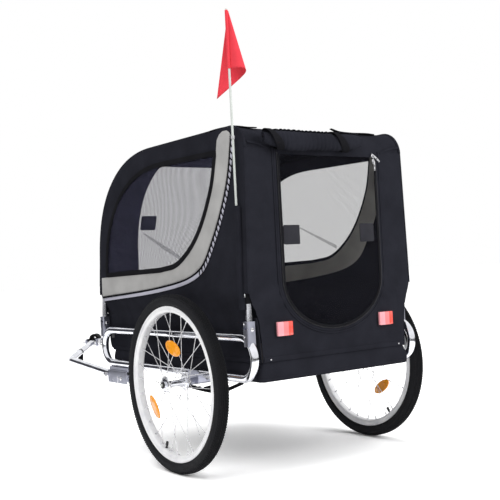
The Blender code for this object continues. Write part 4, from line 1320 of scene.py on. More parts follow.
@dataclass(frozen=True)
class FoldBrackets:
    """The folded channel at each end of each side frame, with its hinge pin and rivets."""

    frames: SideFrames = SideFrames()
    low_z: float = 0.355
    right_low_z: float = 0.372
    top_z: float = 0.418
    wall: float = 0.002
    out: float = 0.013
    into: float = 0.009
    half_y: float = 0.0115
    bend: float = 0.0042
    pin_r: float = 0.003
    head_r: float = 0.0052

    def outline(self, sign: int) -> list[Point2]:
        """The channel's section, open towards the cabin, with rounded bends."""
        x, y = self.out - self.bend, self.half_y - self.bend
        inner = self.bend - self.wall
        points = [(-self.into, -self.half_y), *arc((x, -y), self.bend, -90, 0, 6),
                  *arc((x, y), self.bend, 0, 90, 6), (-self.into, self.half_y),
                  (-self.into, self.half_y - self.wall), *arc((x, y), inner, 90, 0, 6),
                  *arc((x, -y), inner, 0, -90, 6), (-self.into, self.wall - self.half_y)]
        return [(sign * px, py) for px, py in points]

    def build(self, bench: Bench) -> None:
        """Makes the four brackets with their pins."""
        for side in Side:
            for place, y in zip(("rear", "front"), self.frames.uprights(side)):
                self.bracket(bench, f"{place}_{side.word}", side, y)
                self.pin(bench, f"{place}_{side.word}", side, y)

    def bracket(self, bench: Bench, name: str, side: Side, y: float) -> None:
        """One channel, cut to the rail's shape, with its slot and its rivets.

        Args:
            bench: the bench.
            name: the bracket's place and side.
            side: its side.
            y: where it stands.
        """
        loops = self.frames.loops
        x = side.value * loops.x
        face_x = x + side.value * self.out
        low_z = self.low_z if side is Side.LEFT else self.right_low_z
        channel = plate(f"{name}_folded_bracket", self.outline(side.value), self.top_z - low_z,
                        matrix=moved(x, y, (low_z + self.top_z) / 2))
        slot = plate("slot", [*arc((0, 0.008), 0.002, 0, 180, 8),
                              *arc((0, -0.008), 0.002, 180, 360, 8)], 0.012,
                     matrix=along(side.out, (face_x, y, self.frames.pivot_z + 0.004)))
        cut(channel, loops.seat(bench, side), slot)
        rounded(channel, 0.0005, 1)
        bench.fit(channel, "base", ZINC, f"{name}_fold_bracket", crease=30)
        heads = [rivet(0.0026, along(side.out, (face_x, y + 0.006, z)))
                 for z in (loops.top_z + 0.003, self.top_z - 0.006)]
        for sign in (-1, 1):
            spot = (x + side.value * 0.001, y + sign * self.half_y, low_z + 0.006)
            heads.append(rivet(0.0024, along((0, sign, 0), spot)))
        bench.fit(joined(f"{name}_bracket_rivets", heads), "base", BRIGHT_STEEL)

    def pin(self, bench: Bench, name: str, side: Side, y: float) -> None:
        """The hinge pin across the channel, with a domed head and a washer at each end."""
        grip = self.half_y + 0.0003
        half = [(0, grip + 0.0021), (0.0026, grip + 0.0019), (0.0044, grip + 0.0012),
                (self.head_r, grip + 0.0004), (self.head_r, grip), (self.pin_r, grip)]
        centre = (side.value * self.frames.loops.x, y, self.frames.pivot_z)
        pin = lathe(f"{name}_hinge_pin", both_ways(half), 24, along((0, 1, 0), centre))
        bench.fit(pin, "base", BRIGHT_STEEL, f"{name}_fold_pin")


@dataclass(frozen=True)
class AxleAndCrossTubes:
    """The axle tube with its two saddles, and the tubes between the lower rails."""

    loops: SideLoops = SideLoops()
    tube_r: float = 0.0095
    bore_r: float = 0.0063
    half: float = 0.296
    cross_r: float = 0.008
    cross_z: float = 0.2745
    cross_ys: tuple[tuple[str, float], ...] = (("rear_cross_tube", -0.215),
                                               ("front_cross_tube", 0.455))

    def build(self, bench: Bench) -> None:
        """Makes the axle tube, the saddles and the cross tubes."""
        lip = 0.0012
        half = [(self.bore_r, self.half), (self.tube_r - lip, self.half),
                (self.tube_r, self.half - lip)]
        tube = lathe("axle_cross_tube", both_ways(half), 32, along((1, 0, 0), (0, 0, AXLE_Z)))
        bench.fit(tube, "base", ZINC, "axle_tube")
        for side in Side:
            self.saddle(bench, side)
        reach = self.loops.x - self.loops.tube_r
        for name, y in self.cross_ys:
            tube = rod(f"{name}_under_floor", self.cross_r, reach, 28, (0, y, self.cross_z))
            bench.fit(tube, "base", ALUMINIUM, name)

    def saddle(self, bench: Bench, side: Side) -> None:
        """The saddle that holds the axle tube up against the lower rail, and its two screws."""
        half_x, half_y, low_z, high_z = 0.012, 0.018, 0.2375, 0.2905
        x = side.value * self.loops.x
        body = plate(f"{side.word}_axle_saddle",
                     rounded_box(2 * half_y, high_z - low_z, 0.006), 2 * half_x,
                     matrix=along((1, 0, 0), (x, 0, (low_z + high_z) / 2)), edge=0.0015)
        bore = rod("bore", self.tube_r + 0.0002, 0.4, 32, (0, 0, AXLE_Z))
        cut(body, self.loops.seat(bench, side), bore)
        bench.fit(body, "base", ZINC, f"{side.word}_axle_clamp")
        heads = [hex_nut(0.007, 0.0036, x, sign * 0.0125, low_z - 0.0012) for sign in (-1, 1)]
        bench.fit(joined(f"{side.word}_saddle_screws", heads), "base", BRIGHT_STEEL)


# The wheels
@dataclass(frozen=True)
class Wheel:
    """One spoked wheel, drawn about its own Z, which points outboard.

    Attributes:
        side: which side it is on.
        valve_angle: where its valve sits.
        reflector_angles: where its two spoke reflectors sit, in degrees.
    """

    side: Side
    valve_angle: float
    reflector_angles: tuple[float, float]
    x: float = 0.342
    radius: float = 0.2395
    rim_r: float = 0.2085
    rim_inner_r: float = 0.1905
    rim_half: float = 0.0135
    spokes: int = 28
    spoke_r: float = 0.00095
    hole_r: float = 0.0175
    crossing: float = 51.43
    flange_half: float = 0.03
    flange_r: float = 0.0228
    spoke_offset: float = 0.0016
    nipple_r: float = 0.0019
    nipple_length: float = 0.011
    tread_count: int = 190

    @property
    def place(self) -> Matrix:
        """The matrix from the wheel's own frame to the axle frame."""
        return (moved(self.side.value * self.x, 0, AXLE_Z)
                @ Matrix.Rotation(self.side.value * math.radians(90), 4, "Y"))

    def fit(self, bench: Bench, obj: Obj, finish: Finish, *nodes: str,
            body: str = "wheel", crease: float = 35.0) -> Obj:
        """Moves a piece from the wheel's frame and puts it on one of this side's bodies."""
        placed(obj, self.place)
        word = self.side.word
        return bench.fit(obj, f"{word}_{body}", finish, *[f"{word}_{n}" for n in nodes],
                         crease=crease)

    def build(self, bench: Bench) -> None:
        """Makes the whole wheel."""
        word = self.side.word
        self.fit(bench, self.tyre(bench, f"{word}_block_tread_tyre"), TYRE_RUBBER, "tyre",
                 crease=28)
        self.fit(bench, self.air_tube(f"{word}_air_tube_and_valve"), BLACK_PLASTIC, "inner_tube")
        self.fit(bench, self.rim(f"{word}_box_rim"), RIM_METAL, "rim", crease=24)
        self.fit(bench, self.eyelets(bench, f"{word}_rim_eyelets"), BRIGHT_STEEL)
        self.fit(bench, self.hub(f"{word}_hub_shell"), ALUMINIUM, "hub_and_spokes", crease=24)
        self.fit(bench, self.laced_spokes(bench, f"{word}_laced_spokes"), SPOKE_METAL,
                 crease=60)
        for name, angle, radius in zip(("upper", "lower"), self.reflector_angles,
                                       (0.104, 0.101)):
            piece = self.reflector(f"{word}_{name}_spoke_reflector", angle, radius)
            self.fit(bench, piece, ORANGE, f"{name}_reflector")
        self.quick_release(bench)

    def tyre(self, bench: Bench, name: str) -> Obj:
        """Casing with bead lines and sidewall ribs, and rows of small tread blocks.

        Args:
            bench: the bench.
            name: the piece's name.

        Returns:
            The tyre.
        """
        wall = smooth([(0.2093, 0.0114), (0.2118, 0.015), (0.216, 0.0177), (0.2215, 0.0187),
                       (0.227, 0.0181), (0.2315, 0.0166)], 5)
        crown = [(0.234, 0.014), (0.2358, 0.009), (0.2366, 0.004)]
        outside = both_ways([(0.2015, 0.0114), *self.ribbed(wall), *crown])
        inside = both_ways([(0.2015, 0.0094), (0.2095, 0.0094), (0.2145, 0.0138),
                            (0.2225, 0.016), (0.2312, 0.0125)])
        casing = lathe("casing", [*outside, *inside[::-1]], 120)
        step = math.tau / self.tread_count
        blocks = []
        for sign in (-1, 1):
            lag = 0.0 if sign < 0 else 0.5
            for z, half, at, long, low, high, lean in (
                    (0.0027, 0.0019, 0.05, 0.62, 0.236, self.radius, 0.35),
                    (0.0076, 0.0022, 0.42, 0.58, 0.2352, 0.2387, -0.4),
                    (0.0119, 0.0016, 0.1, 0.55, 0.234, 0.2372, 0.35),
                    (0.0152, 0.0013, 0.55, 0.5, 0.2322, 0.235, 0.0)):
                blocks.append(self.block(sign * z, half, (lag + at) * step,
                                         (lag + at + long) * step, low, high,
                                         sign * lean * step))
        tread = bench.ring_of("tread", joined("blocks", blocks), self.tread_count, TYRE_RUBBER)
        return joined(name, (casing, tread))

    @staticmethod
    def ribbed(wall: Outline) -> list[Point2]:
        """Adds two fine ribs to a sidewall's line."""
        found = list(wall)
        for index in (20, 4):
            (r, h), (after_r, after_h) = wall[index:index + 2]
            found.insert(index + 1, ((r + after_r) / 2, (h + after_h) / 2 + 0.0007))
        return found

    @staticmethod
    def block(z: float, half_z: float, start: float, end: float, low_r: float,
              high_r: float, lean: float) -> Obj:
        """One tread block between two angles, leant along the tyre and narrower at its top."""
        slope = 0.0004
        bm = bmesh.new()
        rings = []
        for r, inset in ((low_r, 0.0), (high_r - 0.0005, slope * 0.6), (high_r, slope * 1.6)):
            turn = inset / high_r
            ring = []
            near, far = z - half_z + inset, z + half_z - inset
            for a, h in ((start + turn - lean, near), (end - turn - lean, near),
                         (end - turn + lean, far), (start + turn + lean, far)):
                ring.append(bm.verts.new((r * math.cos(a), r * math.sin(a), h)))
            rings.append(ring)
        for ring, after in zip(rings, rings[1:]):
            for i in range(4):
                bm.faces.new((ring[i], ring[(i + 1) % 4], after[(i + 1) % 4], after[i]))
        bm.faces.new(rings[0][::-1])
        bm.faces.new(rings[-1])
        return of_bmesh("block", bm)

    def air_tube(self, name: str) -> Obj:
        """The air tube, and its rubber valve stem with a ribbed cap."""
        ring = arc((0.2195, 0), (0.0106, 0.0132), 90, -270, 16)[:-1]
        air = lathe("air", ring, 64)
        cap, collar, seat = 0.172, 0.1835, 0.215
        stem = [(0, cap), (0.003, cap), (0.0039, cap + 0.0012), (0.004, collar - 0.001),
                (0.0034, collar), (0.003, collar + 0.001), (0.0034, self.rim_inner_r - 0.001),
                (0.0042, self.rim_inner_r + 0.001), (0.0042, seat), (0, seat)]
        angle = math.radians(self.valve_angle)
        out = (math.cos(angle), math.sin(angle), 0)
        return joined(name, (air, lathe("stem", stem, 20, along(out))))

    def rim(self, name: str) -> Obj:
        """Hooked flanges, brake track and a box section with a rounded inner side."""
        well = both_ways([(self.rim_r, 0.0128), (self.rim_r + 0.0002, 0.0121),
                          (self.rim_r - 0.0008, 0.0118), (0.2004, 0.0118), (0.1985, 0.006)])
        inner = both_ways([(self.rim_r - 0.001, self.rim_half), (0.205, 0.0133),
                           (0.2042, 0.0129), (0.1992, 0.0129), (0.1984, self.rim_half),
                           (0.1965, 0.0131), (0.1925, 0.011), (0.1909, 0.0082),
                           (self.rim_inner_r, 0.004)])
        return lathe(name, [*well, *inner[::-1]], 144)

    def eyelets(self, bench: Bench, name: str) -> Obj:
        """A small pressed ring round each nipple."""
        r = self.nipple_r
        ring = lathe("eyelet", [(r + 0.0001, 0.0006), (r + 0.0009, 0.0008), (r + 0.0014, 0),
                                (r + 0.0001, -0.0004)], 10,
                     along((-1, 0, 0), (self.rim_inner_r, 0, 0)))
        return bench.ring_of(name, ring, self.spokes, BRIGHT_STEEL,
                             first=math.radians(self.crossing) % (math.tau / self.spokes))

    def hub(self, name: str) -> Obj:
        """Hub shell with a waisted barrel, two rounded flanges and bearing caps."""
        face, back = self.flange_half + 0.0012, self.flange_half - 0.0012
        half = [(0.0063, 0.0345), (0.007, 0.0358), (0.0088, 0.036), (0.0096, 0.0352),
                (0.0098, face + 0.0006), (0.0115, face), (0.0214, face), (0.0225, face - 0.0005),
                (self.flange_r, face - 0.0012), (0.0225, back + 0.0005), (0.0214, back),
                (0.0125, back), (0.0108, back - 0.0015), (0.0095, 0.022), (0.0086, 0.012)]
        return lathe(name, both_ways(half), 48)

    def spoke_ends(self, index: int) -> tuple[Vector, Vector, int, int]:
        """One spoke's two ends, its flange and its lead."""
        flange = 1 if index % 2 == 0 else -1
        lead = 1 if (index // 2) % 2 == 0 else -1
        hole = index * math.tau / self.spokes
        rim = hole + lead * math.radians(self.crossing)
        start = Vector((self.hole_r * math.cos(hole), self.hole_r * math.sin(hole),
                        flange * (self.flange_half + lead * self.spoke_offset)))
        end_r = self.rim_inner_r + 0.0008
        end = Vector((end_r * math.cos(rim), end_r * math.sin(rim), flange * 0.003))
        return start, end, flange, lead

    def laced_spokes(self, bench: Bench, name: str) -> Obj:
        """Spokes with elbows, heads and nipples, crossing each other twice.

        Args:
            bench: the bench.
            name: the piece's name.

        Returns:
            All spokes of the wheel.
        """
        group = 4
        wires = []
        for index in range(group):
            start, end, flange, lead = self.spoke_ends(index)
            run = (end - start).normalized()
            head = start - Vector((0, 0, flange * lead * 0.0036))
            elbow = start + run * 0.0018
            collar = end - run * self.nipple_length
            wires.append(sweep("wire", (head, start, elbow, collar + run * 0.002),
                               circle(self.spoke_r, 8)))
            wires.append(lathe("head", [(0, 0.0008), (0.0013, 0.0006), (0.0017, 0),
                                        (0, -0.0002)], 8,
                               along((0, 0, -flange * lead), head)))
            wires.append(lathe("nipple", [(0, self.nipple_length), (0.0019, self.nipple_length),
                                          (0.0018, 0.0018), (0.0013, 0), (0, 0)], 8,
                               along(run, collar)))
        return bench.ring_of(name, joined("laced", wires), self.spokes // group, SPOKE_METAL)

    def reflector(self, name: str, angle: float, radius: float) -> Obj:
        """An oval reflector with a raised lens, clipped over two spokes."""
        lean, turn, thick = math.radians(9.4), math.radians(88), 0.006
        height = (0.0316 - 0.0286 * (radius - self.hole_r) / 0.1725 + self.spoke_r + 0.001
                  + thick / 2)
        lens = lathe("lens", [(0, 0.003), (0.0225, 0.003), (0.024, 0.0023), (0.0252, 0.0023),
                              (0.0264, 0.0029), (0.0288, 0.0024), (0.03, 0.001),
                              (0.0298, -0.0012), (0.028, -0.0024), (0, -0.0024)], 48)
        placed(lens, Matrix.Diagonal((1.22, 0.56, 1, 1)))
        clips = pads("clips", 0.008, 0.006, 0.0015, 0.003, 0.0005, moved(-0.014, 0, -0.0036),
                     moved(0.014, 0, -0.0036))
        spot = Matrix.Rotation(math.radians(angle), 4, "Z") @ moved(radius, 0, height)
        tilt = Matrix.Rotation(lean, 4, "Y") @ Matrix.Rotation(turn, 4, "Z")
        return placed(joined(name, (lens, clips)), spot @ tilt)

    def quick_release(self, bench: Bench) -> None:
        """The axle pin, the black ring on its head, and the push button in its end."""
        word = self.side.word
        mouth, head = 0.0042, 0.0415
        pin = lathe(f"{word}_quick_release_pin",
                    [(0, 0.028), (mouth, 0.028), (mouth, 0.0372), (0.006, 0.0372),
                     (0.006, -0.0365), (0.0085, -0.0365), (0.0085, -0.0455),
                     (0.006, -0.0455), (0.006, -0.099), (0.0045, -0.102), (0, -0.102)], 32)
        self.fit(bench, pin, BRIGHT_STEEL, "axle_pin", body="axle")
        ring = lathe(f"{word}_button_ring",
                     [(mouth, 0.037), (0.0078, 0.0366), (0.0085, 0.0374), (0.0085, 0.0402),
                      (0.0078, 0.0412), (0.0064, head), (0.005, 0.0412), (mouth, 0.0404)], 32)
        self.fit(bench, ring, BLACK_PLASTIC, body="axle")
        button = lathe(f"{word}_push_button",
                       [(0, 0.0438), (0.0018, 0.0437), (0.0031, 0.0431), (0.0037, 0.042),
                        (0.0038, 0.0405), (0.0038, 0.0325), (0, 0.0325)], 28)
        self.fit(bench, button, WHITE_ROD, "release_button", body="button")


# The tow side
@dataclass(frozen=True)
class TowSide:
    """Bracket, bent tow arm, lock pin with its wire bail, and safety strap."""

    rail_x: float = 0.273
    pivot_at: Point3 = (-0.273, 0.42, 0.2285)
    corner: Point3 = (-0.273, 0.817, 0.264)
    tip: Point3 = (-0.105, 0.985, 0.3045)
    tube_r: float = 0.011
    bend: float = 0.045
    tail: float = 0.012
    bracket_ys: Point2 = (0.385, 0.508)
    pin_y: float = 0.513
    bolt_r: float = 0.004

    @property
    def pin_at(self) -> Vector:
        """Where the lock pin crosses the arm."""
        start, corner = Vector(self.pivot_at), Vector(self.corner)
        rise = (corner - start).normalized()
        return start + rise * (self.pin_y - start.y) / rise.y

    @property
    def inward(self) -> Vector:
        """The direction of the arm's last stretch."""
        return (Vector(self.tip) - Vector(self.corner)).normalized()

    def build(self, bench: Bench) -> None:
        """Makes the whole tow side."""
        self.bracket(bench)
        start, corner, end = Vector(self.pivot_at), Vector(self.corner), Vector(self.tip)
        tail = start - (corner - start).normalized() * self.tail
        path = filleted((tail, corner, end), self.bend, 24)
        arm = bench.tube("bent_tow_tube", path, self.tube_r, ALUMINIUM, sides=40)
        bench.fit(arm, "tow_arm", ALUMINIUM, "tow_arm", crease=50)
        self.lock_pin(bench)
        self.strap(bench)

    def bracket(self, bench: Bench) -> None:
        """The folded channel under the rail, with its holes, and the pivot bolt."""
        low_y, high_y = self.bracket_ys
        inner, outer, low, web, top = 0.0118, 0.0143, 0.213, 0.2495, 0.252
        neck, rail_z, bend = 0.008, 0.2617, 0.004
        right = [(inner, low), (outer, low), *arc((outer - bend, top - bend), bend, 0, 90, 5),
                 (neck, top), (neck, rail_z)]
        under = [*arc((inner - 0.0018, web - 0.0018), 0.0018, 90, 0, 4)]
        outline = [*right, *[(-x, z) for x, z in reversed(right)],
                   *[(-x, z) for x, z in reversed(under)], *under]
        turn = Matrix(((1, 0, 0, -self.rail_x), (0, 0, 1, (low_y + high_y) / 2),
                       (0, 1, 0, 0), (0, 0, 0, 1)))
        channel = plate("tow_channel_bracket", outline, high_y - low_y, matrix=turn)
        cutters = [rod("hole", radius, 0.03, 20, (-self.rail_x, y, z))
                   for y, z, radius in ((*self.pivot_at[1:], 0.0043), (0.478, 0.22, 0.003))]
        cut(channel, *cutters)
        rounded(channel, 0.0005, 1)
        bench.fit(channel, "base", ZINC, "tow_bracket", crease=30)
        grip = outer + 0.0003
        bolt = lathe("bolt", [(0, grip + 0.0045), (0.003, grip + 0.0043), (0.0055, grip + 0.003),
                              (0.0065, grip + 0.0008), (0.0065, grip), (self.bolt_r, grip),
                              (self.bolt_r, -grip - 0.006), (0, -grip - 0.006)], 24)
        nut = hex_nut(0.0115, 0.0042, 0, 0, -grip - 0.0021)
        pivot = joined("tow_pivot_bolt_and_nut", (bolt, nut))
        placed(pivot, along((-1, 0, 0), self.pivot_at))
        bench.fit(pivot, "base", BRIGHT_STEEL, "tow_pivot_bolt")

    def lock_pin(self, bench: Bench) -> None:
        """The pin across the tow tube, and the wire bail that hangs on its head."""
        profile = [(0, 0.0255), (0.0045, 0.0255), (0.0055, 0.0249), (0.0055, 0.0236),
                   (0.0049, 0.0233), (0.003, 0.0233), (0.003, 0.0206), (0.0062, 0.0205),
                   (0.0065, 0.02), (0.0065, 0.0175), (self.bolt_r, 0.0175),
                   (self.bolt_r, -0.018), (0.002, -0.021), (0, -0.021)]
        pin = lathe("spring_lock_pin", profile, 28, along((-1, 0, 0), self.pin_at))
        bench.fit(pin, "lock_pin", BRIGHT_STEEL, "lock_pin")
        x, eye_r = self.pin_at.x - 0.022, 0.0044
        y, z = self.pin_at.y, self.pin_at.z
        wide, deep = 0.044, 0.038
        eye = [(x, y + a, z + b) for a, b in arc((0, 0), eye_r, 0, 360, 24)[:-1]]
        drop = [(x, y + a, z + b) for a, b in arc((-wide, -eye_r), (wide, deep), 0, -180, 36)]
        curl = [(x, drop[-1][1] + a, drop[-1][2] + b) for a, b in arc((0.003, 0), 0.003, 180,
                                                                      -60, 10)]
        parts = (bench.tube("eye", eye, 0.001, BRIGHT_STEEL, closed=True, sides=10),
                 bench.tube("wire", [*drop, *curl[1:]], 0.001, BRIGHT_STEEL, sides=10))
        bench.fit(joined("lock_pin_wire_bail", parts), "pin_bail", BRIGHT_STEEL, "pin_bail")

    def strap(self, bench: Bench) -> None:
        """The loop of webbing over the tow tube."""
        radius = self.tube_r + 0.0014
        line = smooth([(-0.0042, -0.034), *arc((0, 0), radius, 205, -25, 20),
                       (0.0042, -0.034)], 2)
        ahead = self.inward
        across = ahead.cross(Vector((0, 0, 1))).normalized()
        centre = Vector(self.corner) + ahead * 0.095
        frame = axes_at(centre, across, across.cross(ahead), ahead)
        path = [frame @ Vector((x, z, 0)) for x, z in line]
        low = min(z for _, z in line)
        fold = plate("fold", [(-0.01, -0.008), (-0.006, -0.026), (0.001, -0.033),
                              (0.007, -0.024), (0.0105, -0.008)], 0.002, matrix=frame)
        widths = [0.2 + 0.8 * min(1.0, max(0.0, (0.004 - z) / (0.004 - low))) ** 0.7
                  for _, z in line]
        shares = np.linspace(0, 1, len(widths))
        loop = sweep("loop", path, band(0.024, 0.0018), closed=True,
                     up=lambda p: (p - centre).normalized(),
                     scale=lambda share: float(np.interp(share, shares, widths)))
        bench.fit(joined("webbing_safety_strap", (loop, fold)), "tow_arm", WEBBING,
                  "safety_strap", crease=60)


@dataclass(frozen=True)
class Hitch:
    """Clevis, clamp screw with its knob, and the rubber jaw, turned towards the bicycle."""

    tow: TowSide = TowSide()
    back: float = 0.014
    inner: float = 0.0185
    outer: float = 0.0215
    web: float = 0.0555
    front: float = 0.0585
    half_z: float = 0.013

    @property
    def place(self) -> Matrix:
        """The matrix from the hitch's own frame to the axle frame."""
        bolt = Vector(self.tow.tip) - self.tow.inward * self.back
        return Matrix.Translation(bolt) @ Matrix.Rotation(math.radians(-45), 4, "Z")

    def build(self, bench: Bench) -> None:
        """Makes the yoke, the jaw and the screw."""
        bend, inside = 0.006, 0.003
        outline = [(self.outer, -0.012), *arc((self.outer - bend, self.front - bend), bend, 0,
                                              90, 6),
                   *arc((bend - self.outer, self.front - bend), bend, 90, 180, 6),
                   (-self.outer, -0.012), (-self.inner, -0.012),
                   *arc((inside - self.inner, self.web - inside), inside, 180, 90, 5),
                   *arc((self.inner - inside, self.web - inside), inside, 90, 0, 5),
                   (self.inner, -0.012)]
        yoke = plate("hitch_clevis", outline, 2 * self.half_z)
        rounded(yoke, 0.0008, 2)
        placed(yoke, self.place)
        bench.fit(yoke, "hitch", ZINC, "hitch_yoke", crease=30)
        self.jaw(bench)
        self.screw(bench)

    def jaw(self, bench: Bench) -> None:
        """The ribbed rubber jaw that grips the bicycle's stay."""
        middle, outer_r, inner_r, low, shoulder = 0.037, 0.018, 0.0095, -0.014, 0.012
        rim = []
        for i in range(25):
            angle = math.radians(180 * i / 24)
            r = outer_r - 0.0006 * (i % 2)
            rim.append((r * math.cos(angle), shoulder + r * math.sin(angle)))
        outline = [(outer_r, low), *rim, (-outer_r, low), (-inner_r, low),
                   *arc((0, shoulder), inner_r, 180, 0, 20), (inner_r, low)]
        jaw = plate("ribbed_hitch_jaw", outline, 2 * outer_r, matrix=standing(0, middle, 0),
                    edge=0.0007)
        placed(jaw, self.place)
        bench.fit(jaw, "hitch", JAW_RUBBER, "hitch_jaw", crease=30)

    def screw(self, bench: Bench) -> None:
        """The clamp screw with a fluted knob on one end and a hexagonal head on the other."""
        flutes = []
        count = 60
        for i in range(count):
            angle = math.tau * i / count
            r = 0.0127 - 0.001 * max(0.0, math.cos(angle * 10)) ** 2
            flutes.append((r * math.cos(angle), r * math.sin(angle)))
        knob = plate("knob", flutes, 0.0085, matrix=moved(0, 0, 0.0315),
                     edge=0.0009)
        collar = lathe("collar", [(0, 0.037), (0.006, 0.037), (0.0085, 0.0358),
                                  (0.0085, 0.027), (0.0065, 0.0262), (0.0065, 0.0218),
                                  (0.004, 0.0218), (0.004, -0.036), (0, -0.036)], 28)
        nut = hex_nut(0.0125, 0.0058, 0, 0, -0.0248)
        screw = joined("fluted_clamp_screw", (knob, collar, nut))
        placed(screw, self.place @ along((1, 0, 0)))
        bench.fit(screw, "clamp_screw", BRIGHT_STEEL, "hitch_clamp_screw", crease=30)


# The cloth cabin
@dataclass(frozen=True)
class CabinForm:
    """Where the cabin's skins stand, and how they ripple and show the tubes under them."""

    levels: tuple[Point2, ...] = ((0.3125, 0.2485), (0.36, 0.25), (0.4, 0.253),
                                  (0.43, 0.258), (0.46, 0.272), (0.487, 0.282),
                                  (0.905, 0.2695), (1.0, 0.2695))
    cloth: float = 0.0025
    inset: float = 0.003
    rear_y: float = -0.272
    roof_z: float = 0.912
    roof_bend: float = 0.06
    arch: Point2 = (0.341, 0.312)
    hem_z: float = 0.3125
    tub_front_y: float = 0.532
    notch_z: Point2 = (0.425, 0.487)
    notch_depth: float = 0.0145
    ridge: float = 0.0016
    frames: SideFrames = SideFrames()

    def half(self, z: float) -> float:
        """Half the cabin's outer width at this height, with its corners eased."""
        heights, widths = zip(*self.levels)
        return float(np.interp((z - 0.006, z, z + 0.006), heights, widths).mean())

    def front_y(self, z: float) -> float:
        """Where the front wall stands below the arch."""
        top_y, top_z = self.frames.arch_centre[0] + self.arch[0], self.frames.arch_centre[1]
        return top_y + 0.0105 * (top_z - z) / (top_z - 0.405)

    @staticmethod
    def billow(a: float, b: float, seed: int, depth: float = 0.0024) -> float:
        """How far the cloth stands off its flat form, never inwards."""
        coarse = noise.noise(Vector((a * 5.5, b * 4.5, seed)))
        fine = noise.noise(Vector((a * 19, b * 13, seed + 9)))
        return depth * (0.55 + 0.45 * coarse + 0.22 * fine)

    def side_point(self, side: Side, y: float, z: float, off: float = 0.0) -> Vector:
        """A point on a side skin, this far outside it."""
        line = np.asarray(self.frames.path(side))[:, 1:]
        near = float(np.hypot(line[:, 0] - y, line[:, 1] - z).min())
        bulge = self.ridge * math.exp(-((near / 0.011) ** 2))
        x = self.half(z) + self.billow(y, z, 3 + side.value) + bulge + off
        return Vector((side.value * x, y, z))

    def rear_point(self, x: float, z: float, off: float = 0.0) -> Vector:
        """A point on the rear wall, this far outside it."""
        pull = math.exp(-(((z - 0.47) / 0.07) ** 2)) * math.exp(-(((abs(x) - 0.2) / 0.06) ** 2))
        drift = 2.5 * noise.noise(Vector((x * 6, z * 5, 51)))
        fold = 0.0016 * pull * (1 + math.sin(abs(x) * 110 + z * 150 + drift))
        side = min(1.0, max(0.0, (abs(x) - 0.19) / 0.03))
        fold += 0.0009 * side * (1 + math.sin(z * 135 - x * 160 + 2 * drift))
        return Vector((x, self.rear_y - self.billow(x, z, 5, 0.002) - fold - off, z))

    def roof_line(self) -> list[Point2]:
        """The roof and front from the rear wall's top, over the arch and down, in (y, z)."""
        centre = self.frames.arch_centre
        rear = arc((self.rear_y + self.roof_bend, self.roof_z - self.roof_bend),
                   self.roof_bend, 180, 90, 10)
        arch = arch_line(centre, self.arch, 36)
        front = [(self.front_y(z), z) for z in (0.56, 0.52, 0.487, 0.46, 0.43, 0.405)]
        tuck = [(0.552, 0.385), (0.5535, 0.36), (0.553, 0.335), (0.548, 0.32),
                (self.tub_front_y, self.hem_z)]
        return [*rear, *arch, *front, *tuck]

    def side_outline(self, side: Side) -> list[Point2]:
        """A side panel's outline, notched where the side frame's tube leaves the cloth."""
        rear_tube, front_tube = self.frames.uprights(side)
        low, high = self.notch_z
        rear_in, front_in = rear_tube + self.notch_depth, front_tube - self.notch_depth
        outline = [(self.rear_y, self.hem_z), (self.rear_y, low),
                   *arc((rear_in - 0.008, low + 0.008), 0.008, -90, 0, 4),
                   *arc((rear_in - 0.008, high - 0.008), 0.008, 0, 90, 4), (self.rear_y, high)]
        outline += [p for p in self.roof_line() if p[1] > high + 0.001]
        outline += [(self.front_y(high), high),
                    *arc((front_in + 0.008, high - 0.008), 0.008, 90, 180, 4),
                    *arc((front_in + 0.008, low + 0.008), 0.008, 180, 270, 4),
                    (self.front_y(low), low)]
        return outline + [p for p in self.roof_line() if p[1] < low - 0.001]


